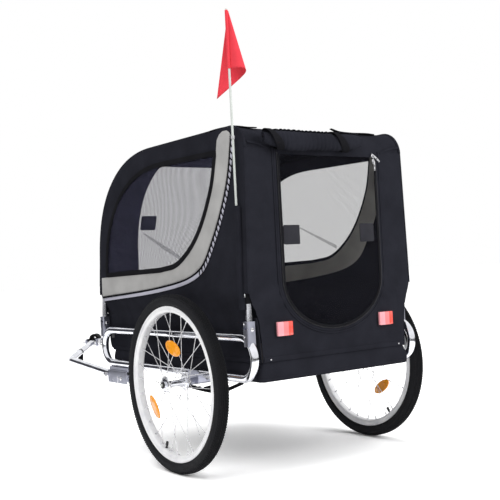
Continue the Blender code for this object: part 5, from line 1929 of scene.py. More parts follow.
@dataclass(frozen=True)
class SidePanels:
    """The side skins with their net windows, grey bands, piping, bindings and seams."""

    form: CabinForm = CabinForm()
    grid: float = 0.011

    @staticmethod
    def rear_edge(shift: float = 0.0) -> list[Point2]:
        """The window's rear edge, swept down from the roof and forward."""
        points = [(-0.146, 0.852), (-0.119, 0.756), (-0.049, 0.646), (0.05, 0.575),
                  (0.15, 0.558)]
        return smooth([(y - shift, z - shift) for y, z in points])

    def window(self, inset: float = 0.0) -> list[Point2]:
        """The side window's outline."""
        low_z = 0.55 + inset
        rear = list(self.rear_edge(-inset))
        front = arch_line((0.14, low_z), (0.348 - inset, 0.307 - 2 * inset), 30)
        rear[0] = (rear[0][0], front[0][1] - 0.004)
        return [*front, *rear[::-1]]

    @staticmethod
    def band_edge(shift: float = 0.0) -> list[Point2]:
        """The grey band's outer edge, from the roof down and forward."""
        points = [(-0.222, 0.889), (-0.195, 0.764), (-0.125, 0.632), (-0.04, 0.545),
                  (0.163, 0.507), (0.526, 0.48)]
        return smooth([(y - shift * 0.8, z - shift * 0.8) for y, z in points])

    def band(self) -> list[Point2]:
        """The grey band's outline."""
        return [(-0.2145, 0.899), (-0.202, 0.905), (-0.184, 0.9055), (-0.168, 0.899),
                (-0.1565, 0.886), *self.rear_edge(0.004), (0.526, 0.541),
                *self.band_edge()[::-1]]

    def lay(self, name: str, side: Side, outline: Outline,
            holes: Sequence[Outline], off: float, thickness: float,
            sink: Callable[[float, float], float] | None = None) -> Obj:
        """Cuts a sheet and lays it on a side skin.

        Args:
            name: the sheet's name.
            side: the side.
            outline: its cut in (y, z).
            holes: the outlines of its openings.
            off: how far its outer face stands off the skin.
            thickness: its thickness.
            sink: a further distance off the skin at each place.

        Returns:
            The sheet.
        """
        def spot(y: float, z: float) -> Vector:
            extra = sink(y, z) if sink else 0.0
            return self.form.side_point(side, y, z, off + extra)

        obj = sheet_mesh(name, outline, holes, self.grid, spot)
        if side is Side.LEFT:
            obj.data.flip_normals()
        return thickened(obj, thickness)

    def trim(self, name: str, side: Side, path: Outline, profile: Outline, off: float,
             closed: bool = False, scale: Callable[[float], float] | None = None) -> Obj:
        """A tape, piping or welt along a line on a side skin."""
        line = [self.form.side_point(side, p.x, p.y, off) for p in spaced(path, 0.007, closed)]
        return sweep(name, line, profile, closed=closed, up=side.out, scale=scale)

    def stitches(self, bench: Bench, name: str, side: Side, path: Outline, off: float,
                 closed: bool = False) -> Obj:
        """A row of stitches along a line on a side skin."""
        line = [self.form.side_point(side, p.x, p.y, off) for p in spaced(path, 0.006, closed)]
        stitch = lathe("stitch", [(0, 0.0016), (0.00028, 0.0013), (0.00034, 0),
                                  (0.00028, -0.0013), (0, -0.0016)], 6, along((1, 0, 0)))
        return bench.row_of(name, stitch, line, 0.0048, THREAD, closed)

    def build(self, bench: Bench) -> None:
        """Makes both sides."""
        for side in Side:
            self.skin(bench, side)
            self.trims(bench, side)
        self.pleat(bench)

    def skin(self, bench: Bench, side: Side) -> None:
        """One side's panel, net window and grey band."""
        word = side.word
        outline, window = self.form.side_outline(side), self.window()
        panel = self.lay(f"{word}_cloth_side", side, outline, (window,), 0.0, self.form.cloth)
        bench.sew(panel, side, BLACK_CLOTH, f"{word}_side_panel")
        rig.sheet(panel, held="stretched", rests_on=[f"{word}_side_frame", f"{word}_loop"],
                 **sheet_size(outline, window))
        centre = (0.17, 0.7)

        def belly(y: float, z: float) -> float:
            across = max(0.0, 1 - ((y - centre[0]) / 0.33) ** 2 - ((z - centre[1]) / 0.17) ** 2)
            fold = noise.noise(Vector((y * 9 + z * 4, z * 3, 21)))
            return 0.0045 * across ** 0.7 * (1 + 0.5 * fold)

        net = self.lay(f"{word}_window_net", side, self.window(-0.002), (), -0.001, 0.0006,
                       belly)
        bench.sew(net, side, SIDE_NET, f"{word}_window_mesh")
        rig.sheet(net, held="stretched", rests_on=[panel], **sheet_size(self.window(-0.002)))
        band_cut = self.band()
        strip = self.lay(f"{word}_reflective_band", side, band_cut, (), 0.0014, 0.0009)
        bench.sew(strip, side, GREY_CLOTH, f"{word}_grey_band")
        # A pale sheet inside the panel behind the band, where the cloth is black: painted light inside the cabin, seen
        # through the nets.
        inner = self.lay(f"{word}_band_lining", side, band_cut, (), -self.form.cloth - 0.0001,
                         0.0005)
        bench.sew(inner, side, INNER_PAINTED_LIGHT)
        line = spaced(self.band_edge(), 0.02)
        length = sum((b - a).length for a, b in zip(line, line[1:]))
        area = float(sheet_size(band_cut)["area"])
        for piece in (strip, inner):
            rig.sheet(piece, flat=(1.25 * area / length, length), area=area, held="stretched",
                     rests_on=[panel])

    def pleat(self, bench: Bench) -> None:
        """The pleat that hangs across the right window's net."""
        start, end = (0.219, 0.678), (0.027, 0.6)
        points = [self.form.side_point(Side.RIGHT, *np.add(start, np.subtract(end, start) * s),
                                       -0.0026) for s in np.linspace(0, 1, 24)]
        fold = sweep("right_window_net_pleat", points, band(0.011, 0.0006), up=Side.RIGHT.out,
                     scale=lambda share: 0.25 + 0.75 * share ** 0.7)
        bench.sew(fold, Side.RIGHT, SIDE_NET)

    def trims(self, bench: Bench, side: Side) -> None:
        """One side's bindings, piping, edge welt, seams and stitches."""
        word = side.word
        form, piping_edge = self.form, self.band_edge(0.0088)
        for name, path, width, thick, off, closed, scale, finish in (
                ("window_binding", self.window(-0.001), 0.0145, 0.0022, 0.0022, True, None,
                 BINDING),
                ("band_edge_tape", self.band_edge(0.001), 0.006, 0.0016, 0.0022, False, None,
                 BINDING),
                ("reflective_piping", piping_edge, 0.0112, 0.0018, 0.0016, False,
                 lambda share: 0.68 + 0.32 * min(1.0, share / 0.55), PIPING)):
            tape = self.trim(f"{word}_{name}", side, path, band(width, thick), off, closed,
                             scale)
            bench.sew(tape, side, finish)
        whipped = self.whipping(f"{word}_piping_whipping", side, piping_edge[:19])
        bench.sew(whipped, side, BINDING)
        for name, path, closed in (("window", self.window(0.0035), True),
                                   ("band", self.band_edge(-0.004), False)):
            row = self.stitches(bench, f"{word}_{name}_stitches", side, path, 0.0026, closed)
            bench.sew(row, side, THREAD)
        roof = [p for p in form.roof_line() if p[1] > form.notch_z[1] - 0.004]
        for name, edge, inset, gap, profile in (
                ("roof_edge_welt", roof, 0.0035, 0.008, circle(0.0046, 14)),
                ("rear_corner_seam", [(form.rear_y, 0.487), (form.rear_y, 0.855)], 0.0018, 0.01,
                 circle(0.003, 10))):
            line = [Vector((side.value * (form.half(z) - inset), y, z)) for y, z in edge]
            bench.sew(sweep(f"{word}_{name}", spaced(line, gap), profile), side, BLACK_CLOTH,
                      crease=180)
        hem_z = form.hem_z + 0.004
        hem = [(form.rear_y + 0.003, hem_z), (form.tub_front_y - 0.002, hem_z)]
        tape = self.trim(f"{word}_panel_hem", side, hem, band(0.012, 0.0026), 0.0008)
        bench.sew(tape, side, BLACK_CLOTH)

    def whipping(self, name: str, side: Side, path: Outline) -> Obj:
        """The black cord that is wound round the upper piping.

        Args:
            name: its name.
            side: the side.
            path: the piping's line in (y, z).

        Returns:
            The cord.
        """
        pitch, per_turn, wide, high = 0.016, 12, 0.004, 0.0022
        line = [self.form.side_point(side, p.x, p.y, 0.0016)
                for p in spaced(path, pitch / per_turn)]
        points = []
        for i, (a, b) in enumerate(zip(line, line[1:])):
            turn = math.tau * i / per_turn
            across = (b - a).normalized().cross(side.out)
            points.append(a + across * (wide * math.cos(turn))
                          + side.out * (high * math.sin(turn)))
        return sweep(name, points, circle(0.0017, 6))


@dataclass(frozen=True)
class RoofAndFront:
    """Roof and front in one cloth, with the front net window, and the seams across it."""

    form: CabinForm = CabinForm()
    window_half: float = 0.143
    window_z: Point2 = (0.47, 0.888)
    corner: float = 0.03

    def runs(self) -> tuple[np.ndarray, np.ndarray]:
        """The roof line's points in (y, z), and the run from its start to each."""
        line = np.asarray(self.form.roof_line())
        return line, np.concatenate(([0.0], np.cumsum(np.hypot(*np.diff(line, axis=0).T))))

    def at(self, run: float) -> tuple[Vector, Vector]:
        """The place and outward normal at this run along the roof line, in (y, z)."""
        line, steps = self.runs()
        place, after, before = (
            np.array([np.interp(spot, steps, line[:, k]) for k in (0, 1)])
            for spot in (run, run + 0.004, run - 0.004))
        tangent = Vector(after - before).normalized()
        return Vector(place), Vector((-tangent.y, tangent.x))

    def length(self) -> float:
        """The roof line's length."""
        return float(np.hypot(*np.diff(self.runs()[0], axis=0).T).sum())

    def run_at(self, z: float) -> float:
        """The run at which the front comes down to this height."""
        line, steps = self.runs()
        front = line[:, 0] > 0.2
        return float(np.interp(-z, -line[front, 1], steps[front]))

    def spot(self, x: float, run: float, off: float = 0.0) -> Vector:
        """A point on the cover, with the cloth's billow and its sag between the two tubes."""
        place, normal = self.at(run)
        edge = self.form.half(place.y) - self.form.inset
        share = min(1.0, abs(x) / edge)
        rise = self.form.billow(x, run, 8, 0.0022) * (1 - share ** 6)
        sag = 0.004 * (1 - share ** 2) * max(0.0, normal.y)
        out = normal * (rise - sag + off)
        return Vector((x, place.x + out.x, place.y + out.y))

    def outline(self) -> list[Point2]:
        """The cover's flat cut in (x, run)."""
        runs = np.linspace(0.0, self.length(), 70)
        right = [(self.form.half(self.at(run)[0].y) - self.form.inset, float(run))
                 for run in runs]
        return [*right, *[(-x, run) for x, run in reversed(right)]]

    def opening(self, grow: float = 0.0) -> list[Point2]:
        """The front window's outline in (x, run)."""
        start, end = self.run_at(self.window_z[1]), self.run_at(self.window_z[0])
        box = rounded_box(2 * (self.window_half + grow), end - start + 2 * grow, self.corner)
        return [(x, (start + end) / 2 + run) for x, run in box]

    def build(self, bench: Bench) -> None:
        """Makes the cover, its net window, bindings and seams."""
        outline, opening = self.outline(), self.opening()
        cover = sheet_mesh("roof_and_front_cloth", outline, (opening,), 0.012, self.spot)
        bench.sink(thickened(cover, self.form.cloth), BLACK_CLOTH, "roof_and_front_cover")
        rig.sheet(cover, held="stretched", rests_on=["left_side_frame", "right_side_frame"],
                 **sheet_size(outline, opening))
        cut_net = self.opening(0.003)
        net = sheet_mesh("front_window_net", cut_net, (), 0.012,
                         lambda x, run: self.spot(x, run, -0.0012))
        bench.sink(thickened(net, 0.0006), SIDE_NET, "front_window_mesh")
        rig.sheet(net, held="stretched", rests_on=[cover], **sheet_size(cut_net))
        ends = Vector((-0.121, self.run_at(0.681))), Vector((0.037, self.run_at(0.583)))
        line = [ends[0].lerp(ends[1], s) for s in np.linspace(0, 1, 24)]
        pleat = sweep("front_window_net_pleat", [self.spot(p.x, p.y, -0.003) for p in line],
                      band(0.013, 0.0006), up=Vector((0, 1, 0)),
                      scale=lambda share: 0.35 + 0.65 * math.sin(math.pi * share * 0.8))
        bench.sink(pleat, SIDE_NET)
        ring = [self.spot(p.x, p.y, 0.0008) for p in spaced(self.opening(0.001), 0.008, True)]
        middle = Vector((0, 0.25, 0.55))
        binding = sweep("front_window_binding", ring, band(0.011, 0.0022), closed=True,
                        up=lambda p: Vector((0, *(p - middle)[1:])).normalized())
        bench.sink(binding, BINDING)
        self.cross_seams(bench)

    def cross_seams(self, bench: Bench) -> None:
        """Felled seams across the roof, and the loop square that holds the rolled front flap."""
        seams = []
        for run in (0.115, self.run_at(0.885), self.run_at(0.455)):
            place, normal = self.at(run)
            half = self.form.half(place.y) - 0.006
            line = [self.spot(x, run, 0.0006) for x in np.linspace(-half, half, 50)]
            seams.append(sweep("seam", line, band(0.007, 0.0016), up=Vector((0, *normal))))
        bench.sink(joined("roof_felled_seams", seams), BLACK_CLOTH)
        run = self.run_at(0.715)
        normal = self.at(run)[1]
        across, rise = Vector((1, 0, 0)), Vector((0, -normal.y, normal.x))
        place = axes_at(self.spot(-0.106, run, -0.0034), across, rise, across.cross(rise))
        square = pads("front_flap_loop_squares", 0.056, 0.048, 0.004, 0.0022, 0.0005, place)
        bench.sink(square, FUZZ, crease=35)


@dataclass(frozen=True)
class RearEnd:
    """Rear wall, net door with its zip, header, reflectors, hem rivets and the rolled flap."""

    form: CabinForm = CabinForm()
    door_half: float = 0.168
    door_top: float = 0.838
    bend_z: float = 0.515
    bend_depth: float = 0.13
    door_y: float = -0.2775
    back = Vector((0, -1, 0))
    roll_x: float = -0.06
    roll_half: float = 0.165
    roll_y: float = -0.293
    roll_z: float = 0.8775
    roll_r: float = 0.0252
    roll_depth: float = 0.62
    roll_straps: Point2 = (-0.192, 0.026)
    strap_slant: float = 0.018

    def doorway(self, grow: float = 0.0) -> list[Point2]:
        """The doorway's outline in (x, z): straight sides over half an ellipse."""
        bottom = arc((0, self.bend_z), (self.door_half + grow, self.bend_depth + grow), 180,
                     360, 44)
        top = self.door_top + grow
        left = [(-self.door_half - grow, z) for z in np.linspace(top, self.bend_z, 12)[:-1]]
        right = [(self.door_half + grow, z) for z in np.linspace(self.bend_z, top, 12)[1:]]
        return [*left, *bottom, *right]

    def build(self, bench: Bench) -> None:
        """Makes the whole rear end."""
        self.wall(bench)
        self.door(bench)
        self.zips(bench)
        self.reflectors(bench)
        self.seams(bench)
        self.roll(bench)
        self.roll_ties(bench)

    def wall(self, bench: Bench) -> None:
        """The rear wall."""
        top = self.form.roof_z - self.form.roof_bend + 0.001
        right = [(self.form.half(z) - self.form.inset, float(z))
                 for z in np.linspace(self.form.hem_z, top, 30)]
        outline = [*right, *[(-x, z) for x, z in reversed(right)]]
        wall = sheet_mesh("rear_cloth_wall", outline, (self.doorway(),), 0.011,
                          self.form.rear_point)
        bench.sink(thickened(wall, self.form.cloth), BLACK_CLOTH, "rear_wall")
        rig.sheet(wall, held="stretched", rests_on=["left_side_frame", "right_side_frame"],
                 **sheet_size(outline, self.doorway()))

    def net_point(self, x: float, z: float) -> Vector:
        """A point on the net door, which hangs a little slack."""
        share = max(0.0, 1 - (x / 0.17) ** 2) * max(0.0, 1 - ((z - 0.6) / 0.23) ** 2)
        fold = noise.noise(Vector((x * 8 - z * 5, z * 4, 31)))
        return Vector((x, self.door_y + 0.0026 + 0.0012 * share * (1 + fold), z))

    def door(self, bench: Bench) -> None:
        """The net door and its two hook-and-loop squares."""
        cut_net = self.doorway(0.001)
        net = sheet_mesh("net_rear_door", cut_net, (), 0.012, self.net_point)
        bench.sink(thickened(net, 0.0006), DOOR_NET, "rear_door", body="rear_door")
        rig.sheet(net, held="stretched", rests_on=["rear_wall"], **sheet_size(cut_net))
        squares = [pads("square", width, 0.05, 0.004, 0.0024, 0.0006,
                        standing(x, self.door_y + 0.0006, 0.631))
                   for x, width in ((-0.137, 0.052), (0.124, 0.05))]
        bench.sink(joined("door_loop_squares", squares), FUZZ, body="rear_door")

    def zips(self, bench: Bench) -> None:
        """The zip's two tapes, its coil, both sliders and the guard flap."""
        for name, grow, width, y, body, finish in (
                ("zip_outer_tape", 0.009, 0.008, -0.2738, "base", BLACK_CLOTH),
                ("zip_inner_tape", -0.001, 0.007, -0.2762, "rear_door", BINDING),
                ("zip_guard_welt", 0.016, 0.005, -0.2746, "base", BLACK_CLOTH)):
            line = [Vector((p.x, y, p.y)) for p in spaced(self.doorway(grow), 0.007)]
            tape = sweep(name, line, band(width, 0.0024), up=self.back)
            bench.sink(tape, finish, body=body)
        tooth = lathe("tooth", [(0, 0.0022), (0.0006, 0.002), (0.0007, 0),
                                (0.0006, -0.002), (0, -0.0022)], 6)
        path = [Vector((p.x, -0.2766, p.y)) for p in spaced(self.doorway(0.0033), 0.006)]
        coil = bench.row_of("zip_coil", tooth, path, 0.0028, ZIP_COIL)
        bench.sink(coil, ZIP_COIL, body="rear_door")
        self.slider(bench, "zip_slider_and_pull", "zip_slider", 0.16, 0.826, 0, "zip_slider")
        self.slider(bench, "second_zip_slider", "rear_door", 0.16, 0.841, -52)

    def slider(self, bench: Bench, name: str, body: str, x: float, z: float, swing: float,
               *nodes: str) -> None:
        """A zip slider: its body, the bridge on it and the pull that hangs or slants from it."""
        y = self.door_y
        outline = [(-0.0035, 0.0068), (0.0035, 0.0068), (0.0048, 0.002), (0.0034, -0.0066),
                   (-0.0034, -0.0066), (-0.0048, 0.002)]
        shell = plate("shell", outline, 0.003, matrix=standing(x, y - 0.0016, z), edge=0.0007)
        arch = [(x, y - out, z + rise) for out, rise in ((0.0028, 0.0052), (0.0052, 0.0036),
                                                         (0.0052, -0.002), (0.0028, -0.004))]
        bridge = bench.tube("bridge", arch, 0.0008, BRIGHT_STEEL, sides=10)
        pull = plate("pull", rounded_box(0.005, 0.026, 0.0022), 0.0014,
                     holes=(rounded_box(0.0024, 0.0065, 0.0011),
                            [(px, py - 0.0095) for px, py in circle(0.0015, 14)]),
                     matrix=standing(x, y - 0.0058, z - 0.0125), edge=0.0003)
        piece = joined(name, (shell, bridge, pull))
        spot = moved(x, y, z)
        placed(piece, spot @ Matrix.Rotation(math.radians(swing), 4, "Y") @ spot.inverted())
        bench.sink(piece, BRIGHT_STEEL, *nodes, body=body, crease=30)

    def reflectors(self, bench: Bench) -> None:
        """Two red reflectors with three upright facets, each on its black base."""
        for side in Side:
            x = side.value * 0.176
            facets = [(-0.025, 0.0), (-0.025, 0.0075), (-0.0085, 0.01), (0.0075, 0.01),
                      (0.025, 0.0062), (0.025, 0.0)]
            turn = Matrix(((1, 0, 0, x), (0, -1, 0, -0.2752), (0, 0, 1, 0.393), (0, 0, 0, 1)))
            lens = plate("lens", facets, 0.036, edge=0.0028)
            placed(rounded(lens, 0.0012), turn)
            lens.name = f"{side.word}_red_reflector"
            # Painted highlight on the facets: the left one takes the whole lighter colour, the middle one about half,
            # the right one none.
            shares = lens.data.attributes.new("facet", "FLOAT", "FACE")
            for face, share in zip(lens.data.polygons, shares.data):
                offset = face.center.x - x
                share.value = 1.0 if offset < -0.0085 else 0.45 if offset < 0.0075 else 0.0
            bench.fit(lens, "base", RED, f"{side.word}_rear_reflector", crease=25)
            back = pads(f"{side.word}_reflector_base", 0.055, 0.039, 0.006, 0.0034, 0.0008,
                        standing(x, -0.2744, 0.393))
            bench.fit(back, "base", BLACK_PLASTIC)

    def seams(self, bench: Bench) -> None:
        """The folded hem with its rivets, and the header's seams."""
        hem_z = self.form.hem_z + 0.006
        half = self.form.half(hem_z) - 0.006
        hem = [self.form.rear_point(x, hem_z, 0.0006) for x in np.linspace(-half, half, 60)]
        fold = sweep("rear_hem_fold", hem, band(0.013, 0.0028), up=self.back)
        bench.sink(fold, BLACK_CLOTH)
        line = [self.form.rear_point(x, hem_z, 0.002)
                for x in np.linspace(-half + 0.02, half - 0.02, 60)]
        row = bench.row_of("hem_rivets", rivet(0.0021, along(self.back)), line, 0.225,
                           BRIGHT_STEEL)
        bench.sink(row, BRIGHT_STEEL)
        top = []
        for sign in (-1, 1):
            points = [(sign * 0.262, 0.868), (sign * 0.225, 0.862), (sign * 0.192, 0.85)]
            line = [self.form.rear_point(x, z, 0.0006) for x, z in smooth(points, 8)]
            top.append(sweep("seam", line, band(0.006, 0.0018), up=self.back))
        bench.sink(joined("header_seams", top), BLACK_CLOTH)

    def roll(self, bench: Bench) -> None:
        """The outer door flap, rolled up in gathers: a spiral of cloth in several turns."""
        turns, per_turn, columns, pitch = 4, 30, 230, 0.0046
        rows = turns * per_turn
        total = turns * math.tau
        start = math.radians(100)

        def lay(across: float, round_share: float) -> Vector:
            angle = start - total * round_share
            x = self.roll_x + self.roll_half * (2 * across - 1)
            end = abs(2 * across - 1) ** 6
            gather = noise.noise(Vector((across * 16, math.sin(angle) * 0.8, 41)))
            drift = 5.0 * noise.noise(Vector((across * 7, 3, 12)))
            crease = math.sin(across * 150 + drift + 1.2 * math.sin(angle))
            low = x + self.strap_slant * math.sin(angle)
            pinch = sum(math.exp(-(((low - s) / 0.013) ** 2)) for s in self.roll_straps)
            between = self.roll_straps[0] + 0.012 < x < self.roll_straps[1] - 0.012
            belly = math.exp(-(((x + 0.13) / 0.042) ** 2)) * (math.sin(angle) < 0.2)
            scale = (1 + 0.06 * gather + (0.04 if between else 0.012) * crease - 0.45 * end
                     - 0.1 * pinch + 0.2 * belly * max(0.0, -math.sin(angle)))
            radius = (self.roll_r - pitch * turns * round_share) * scale
            sag = 0.006 * (1 - (2 * across - 1) ** 2)
            return Vector((x, self.roll_y + self.roll_depth * radius * math.cos(angle),
                           self.roll_z - sag + radius * math.sin(angle)))

        mean = self.roll_r - pitch * turns / 2
        length = total * mean * (1 + self.roll_depth) / 2
        width = 2 * self.roll_half
        flap = grid_mesh("rolled_door_flap", columns, rows, lay, (width, length))
        flap.data.flip_normals()
        bench.sink(thickened(flap, 0.0013), BLACK_CLOTH, "door_roll")
        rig.sheet(flap, flat=(width, length), held="folded", rests_on=["rear_wall"])

    def roll_ties(self, bench: Bench) -> None:
        """Two straps round the roll, and their loose ends lying on the roof."""
        centre = Vector((0, self.roll_y, self.roll_z - 0.005))
        round_r = self.roll_r + 0.001
        slope = self.strap_slant / self.roll_r
        ring = arc((centre.y, centre.z), (round_r * self.roll_depth + 0.001, round_r), 0, 360,
                   40)[:-1]
        straps = [sweep("strap", [(x + slope * (centre.z - z), y, z) for y, z in ring],
                        band(0.021, 0.0018), closed=True,
                        up=lambda p: (Vector((0, p.y, p.z)) - centre).normalized())
                  for x in self.roll_straps]
        bench.sink(joined("roll_straps", straps), WEBBING)
        ends = []
        roof = self.form.roof_line()[:11]
        for line in (((-0.262, -0.1, 0.001), (-0.262, -0.15, 0.003), (-0.255, -0.205, 0.0025),
                      (-0.236, -0.232, 0.0015), (-0.206, -0.242, 0.005)),
                     ((0.205, -0.232, -0.0005), (0.17, -0.234, 0.0015), (0.12, -0.236, 0.001),
                      (0.078, -0.236, 0.003), (0.05, -0.235, 0.011))):
            points = [(x, y, float(np.interp(y, *zip(*roof))) + lift)
                      for x, y, lift in smooth(line, 5)]
            ends.append(sweep("end", points, band(0.02, 0.0034), up=Vector((0, 0, 1)),
                              scale=lambda share: 1 - 0.5 * max(0.0, share - 0.75) * 4))
        bench.sink(joined("loose_strap_ends", ends), WEBBING)


@dataclass(frozen=True)
class TubAndFloor:
    """The lower cloth tub in the loops, its floor board, and the webbing that ties it down."""

    form: CabinForm = CabinForm()
    half_x: float = 0.248
    low_z: float = 0.2627
    corner: float = 0.012
    floor_z: float = 0.283
    board: float = 0.005

    def ring(self, inset: float, z: float, billow: float = 0.0) -> list[Vector]:
        """The tub's plan at a height, drawn in by this much."""
        low_y, high_y = self.form.rear_y, self.form.tub_front_y
        length, middle = high_y - low_y, (low_y + high_y) / 2
        slant = 0.45 * (self.form.hem_z - max(z, 0.272))
        box = rounded_box(2 * self.half_x, length, self.corner, 6)
        ring = []
        for x, y in corner_keeping(box, 0.012):
            give = billow * (0.5 + 0.5 * noise.noise(Vector((x * 9, y * 9, z * 14)))) - inset
            back = slant * (y / length + 0.5)
            give += 0.0095 * min(1.0, (self.form.hem_z - z) / 0.025)
            ring.append(Vector((x * (1 + give / self.half_x),
                                middle + y * (1 + give / length) - back, z)))
        return ring

    def shell(self, name: str, levels: Sequence[tuple[float, float, float]],
              closed_top: bool) -> Obj:
        """Rings joined from the top down and closed below, as one skin."""
        rings = [self.ring(*level) for level in levels]
        count = len(rings[0])
        points = [p for ring in rings for p in ring]
        faces = []
        for j in range(len(rings) - 1):
            for i in range(count):
                a, b = j * count + i, j * count + (i + 1) % count
                faces.append((a, a + count, b + count, b))
        faces.append(tuple((len(rings) - 1) * count + i for i in range(count))[::-1])
        if closed_top:
            faces.append(tuple(range(count)))
        obj = mesh_of(name, points, faces, [(p.x + p.z, p.y + p.z) for p in points])
        bm = bmesh.new()
        bm.from_mesh(obj.data)
        bmesh.ops.recalc_face_normals(bm, faces=bm.faces)
        if not closed_top and bm.faces[0].normal.dot(bm.faces[0].calc_center_median()) < 0:
            bmesh.ops.reverse_faces(bm, faces=bm.faces)
        bm.to_mesh(obj.data)
        bm.free()
        return obj

    def build(self, bench: Bench) -> None:
        """Makes the tub, the board and the webbing."""
        top = self.form.hem_z - 0.0003
        levels = [(0.0, float(z), 0.0012 * math.sin(math.pi * share))
                  for share, z in zip(np.linspace(0, 1, 6), np.linspace(top, 0.2695, 6))]
        levels += [(0.001, 0.2655, 0.0), (0.0035, 0.2634, 0.0), (0.008, self.low_z, 0.0),
                   (0.12, self.low_z, 0.0)]
        tub = self.shell("cloth_tub", levels, closed_top=False)
        thickened(tub, self.form.cloth)
        bench.fit(tub, "base", BLACK_CLOTH, "cabin_tub", crease=50)
        length = self.form.tub_front_y - self.form.rear_y
        depth = top - self.low_z
        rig.sheet(tub, flat=(2 * self.half_x + 2 * depth, length + 2 * depth), held="stretched",
                 rests_on=["floor_board"])
        rise = self.floor_z + self.board
        board = self.shell("rigid_floor_board",
                           [(0.0055, rise, 0.0), (0.0045, rise - 0.001, 0.0),
                            (0.0045, self.floor_z + 0.001, 0.0), (0.0055, self.floor_z, 0.0)],
                           closed_top=True)
        bench.fit(board, "base", BOARD, "floor_board", crease=30)
        self.webbing(bench)

    def webbing(self, bench: Bench) -> None:
        """Straps from the tub round the axle tube, tabs at the upper rails, and two left ties."""
        straps = []
        for x in (-0.165, 0.165):
            for y_end, sign in ((-0.105, -1), (0.085, 1)):
                around = arc((0, AXLE_Z), 0.0112, 90 + sign * 70, 90 + sign * 250, 14)
                path = [(x, y_end, self.low_z - 0.0015), *[(x, y, z) for y, z in around]]
                straps.append(sweep("strap", spaced(path, 0.006), band(0.016, 0.0018),
                                    up=Vector((0, -0.35, 1)).normalized()))
        bench.fit(joined("axle_tie_straps", straps), "base", WEBBING)
        tabs = []
        for side in Side:
            x = side.value * 0.273
            drop = [(x, 0.487, 0.364), (x, 0.487, 0.354), (x + side.value * 0.001, 0.487, 0.3515)]
            tabs.append(sweep("tab", drop, band(0.016, 0.0022), up=side.out))
        bench.fit(joined("rail_webbing_tabs", tabs), "base", GREY_WEB)
        low = [(0.3, 0.0, 0.241), (0.28, -0.03, 0.232), (0.272, -0.07, 0.229),
               (0.268, -0.12, 0.233), (0.265, -0.16, 0.245), (0.258, -0.2, 0.26)]
        high = [(0.28, -0.045, 0.2345), (0.271, -0.08, 0.242), (0.268, -0.115, 0.243),
                (0.266, -0.145, 0.24)]
        ties = [sweep("tie", [(-a, b, c) for a, b, c in smooth(line, 6)], band(0.01, 0.0022),
                      up=Vector((-1, 0, 0.3)).normalized()) for line in (low, high)]
        bench.fit(joined("axle_safety_ties", ties), "base", WEBBING)


